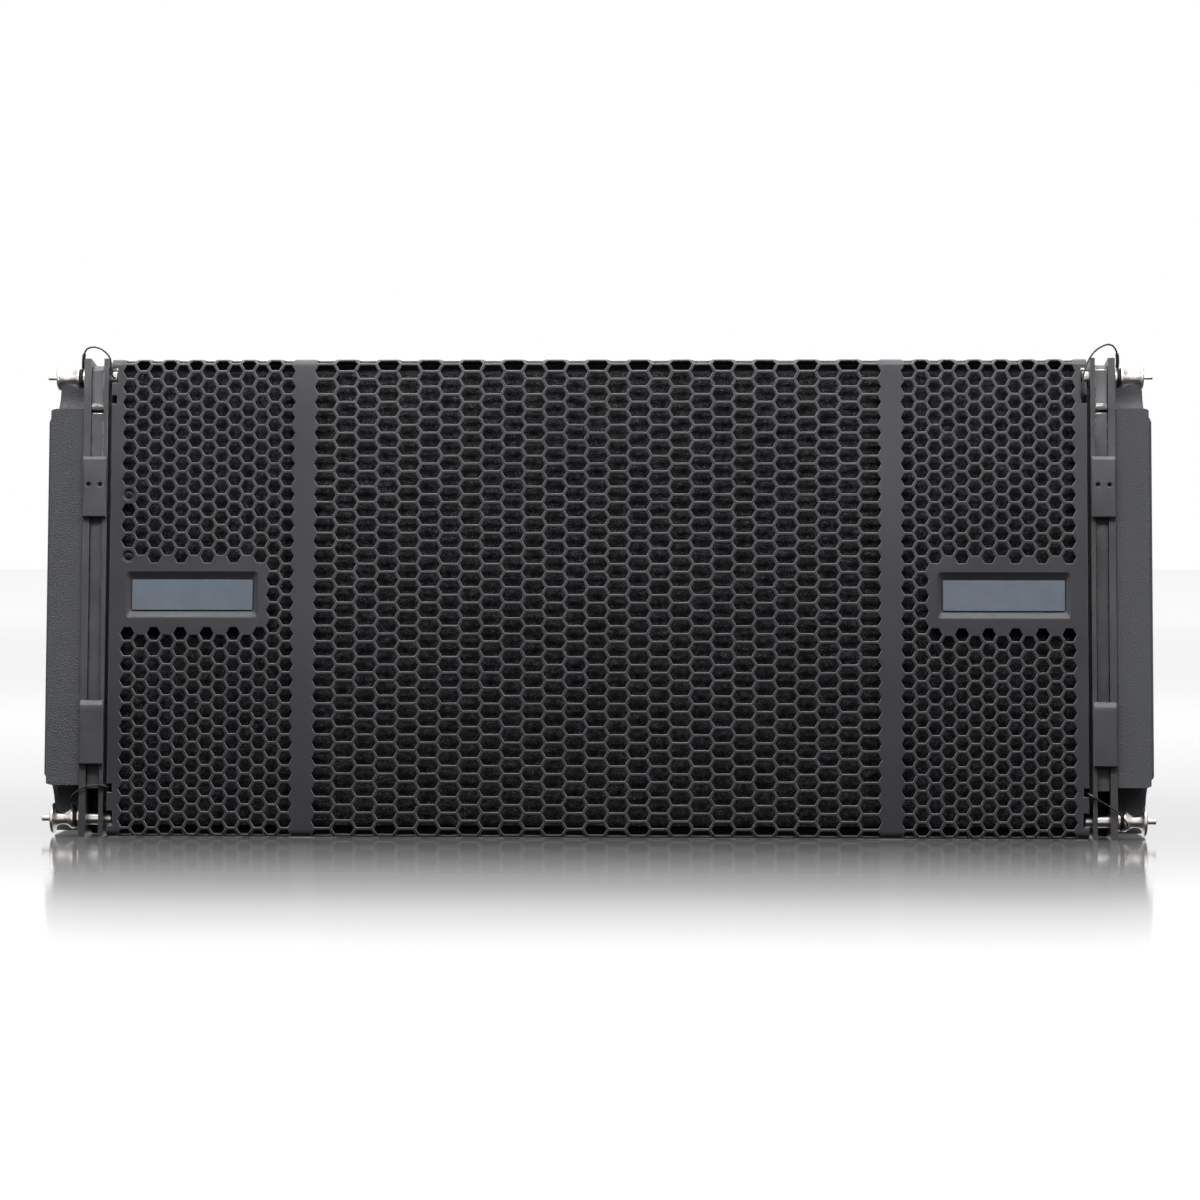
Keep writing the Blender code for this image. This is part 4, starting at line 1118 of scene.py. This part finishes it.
# ---- sockets ----
# Two round locking power sockets, blue for power in and grey for power out,
# and two round three-pole signal sockets, all pressed into the control plate.
POWER_SOCKETS = {"power_in": (0.065, (0.020, 0.075, 0.300)),
                 "power_out": (0.110, (0.330, 0.340, 0.350))}
SIGNAL_SOCKETS = {"signal_in": 0.170, "signal_out": 0.215}
SOCKET_HEIGHT = 0.120
KEY, KEY_TURNS = (0.0014, 0.0026, 0.012), (0.0, 2.2, 4.1)
SOCKET_RING = [
    (0.0088, -0.0185), (0.0088, 0.0027), (0.0091, 0.0033), (0.0096, 0.0035), (0.0143, 0.0035),
    (0.0150, 0.0033), (0.0155, 0.0027), (0.0156, 0.0020), (0.0156, 0.0003), (0.0118, 0.0003),
    (0.0118, -0.0190), (0, -0.0190), (0, -0.0185), (0.0088, -0.0185),
]
contact_gold = worked_metal("contact_gold", (0.85, 0.62, 0.28), (0.60, 0.42, 0.20), 0.25,
                            "turned_streaks", 0.1)
for name, (x, colour) in POWER_SOCKETS.items():
    finish = coated(f"{name}_plastic", colour, 0.40, grain=900, relief=0.15, cloud=40, tone=0.1)
    shape = turned(SOCKET_RING, 48)
    core = turned([(0, -0.002), (0.0044, -0.002), (0.0050, -0.0026), (0.0052, -0.0185)], 32)
    joined(shape, core)
    for turn in KEY_TURNS:
        key = block(KEY)
        bmesh.ops.bevel(key, geom=key.edges[:], offset=0.0003, segments=1, profile=0.5,
                        affect="EDGES", material=-1)
        spin = Matrix.Rotation(turn, 4, "Z") @ Matrix.Translation((0.0083, 0, -0.008))
        bmesh.ops.transform(key, matrix=spin, verts=key.verts)
        joined(shape, key)
    settle(shape, f"{name}_locking_socket", finish,
           stands_for=[f"{name}_socket"], place=LEAN @ facing_rear(x, PLATE_FACE, SOCKET_HEIGHT))
socket_black = coated("socket_black", (0.018, 0.018, 0.020), 0.40, grain=1000, relief=0.2,
                      cloud=30, tone=0.15, dust=0.15)
for name, x in SIGNAL_SOCKETS.items():
    place = LEAN @ facing_rear(x, PLATE_FACE, SOCKET_HEIGHT)
    shape = turned(SOCKET_RING, 48)
    inputs = name == "signal_in"
    poles = [(0.0046 * cos(a), 0.0046 * sin(a)) for a in (radians(210), radians(330), radians(90))]
    face = [circle(0, 0, 0.00875, 32)]
    if inputs:
        face += [circle(a, b, 0.0014, 12) for a, b in poles]
    insert = pressed_sheet(face, 0.003, 0.0002)
    sunk = -0.004 if inputs else -0.014
    lay_flat = Matrix.Translation((0, 0, sunk)) @ Matrix.Rotation(-pi / 2, 4, "X")
    bmesh.ops.transform(insert, matrix=lay_flat, verts=insert.verts)
    joined(shape, insert)
    settle(shape, f"{name}_round_socket", socket_black,
           stands_for=[f"{name}_socket"], place=place)
    contacts = bmesh.new()
    for a, b in poles:
        top = -0.0075 if inputs else -0.0030
        pole = turned([
            (0, top), (0.0007, top), (0.0011, top - 0.0006), (0.0011, -0.0165), (0, -0.0165),
        ], 16)
        bmesh.ops.translate(pole, vec=(a, b, 0), verts=pole.verts)
        joined(contacts, pole)
    settle(contacts, f"{name}_contacts", contact_gold, place=place)


# ---- selectors ----
# Two fluted black knobs with a white pointer, one for the splay angle in
# degrees and one for the preset, and a small reset button. The numbers round
# the knobs are printed on the plate.
KNOBS = {"splay_selector": (0.170, ("0", "2", "4", "6", "8", "10")),
         "preset_selector": (0.215, ("1", "2", "3", "4", "5", "6"))}
KNOB_HEIGHT = 0.190
KNOB_PROFILE = [
    (0, 0.0118), (0.0050, 0.0120), (0.0060, 0.0119), (0.0067, 0.0114), (0.0070, 0.0105),
    (0.0074, 0.0012), (0.0072, 0.0006), (0.0030, 0.0006), (0.0030, -0.006), (0, -0.006),
]
FLUTES, FLUTE_DEEP = 12, 0.05
NUMBER_SIZE, NUMBER_RING = 0.0036, 0.0118
TURN_LIMIT = 150
RESET = 0.255
print_white = coated("printed_white", (0.70, 0.70, 0.68), 0.55, grain=900, relief=0.1, cloud=50,
                     tone=0.06, dust=0.0)
numbers = bmesh.new()
for name, (x, labels) in KNOBS.items():
    place = facing_rear(x, PLATE_FACE, KNOB_HEIGHT)
    shape = turned(KNOB_PROFILE, 96)
    for vert in shape.verts:
        if 0.0008 < vert.co.z < 0.0112:
            angle = Vector((1, 0)).angle_signed(vert.co.xy, 0)
            scale = 1 - FLUTE_DEEP * (0.5 + 0.5 * cos(FLUTES * angle)) ** 3
            vert.co.x *= scale
            vert.co.y *= scale
    settle(shape, f"{name}_fluted_knob", socket_black, name, [name],
           LEAN @ place)
    pointer = block((0.0009, 0.0052, 0.0004), (0, 0.0034, 0.0119))
    bmesh.ops.bevel(pointer, geom=pointer.edges[:], offset=0.0001, segments=1, profile=0.5,
                    affect="EDGES", material=-1)
    settle(pointer, f"{name}_pointer", print_white, name, (), LEAN @ place)
    for i, label in enumerate(labels):
        angle = radians(-TURN_LIMIT + 2 * TURN_LIMIT * i / (len(labels) - 1))
        words = bpy.data.curves.new("number", "FONT")
        words.body = label
        words.size = NUMBER_SIZE
        words.align_x = words.align_y = "CENTER"
        words.extrude = 0.00004
        shape = shape_of(words)
        spot = (NUMBER_RING * sin(angle), NUMBER_RING * cos(angle), 0.00005)
        bmesh.ops.translate(shape, vec=spot, verts=shape.verts)
        bmesh.ops.transform(shape, matrix=place, verts=shape.verts)
        joined(numbers, shape)
settle(numbers, "dial_numbers", print_white)
reset = turned([
    (0, 0.0030), (0.0030, 0.0030), (0.0036, 0.0029), (0.0040, 0.0025), (0.0041, 0.0020),
    (0.0041, -0.0060), (0, -0.0060),
], 40)
settle(reset, "reset_push_button", socket_black, "reset_button",
       ["reset_button"], LEAN @ facing_rear(RESET, PLATE_FACE, KNOB_HEIGHT))
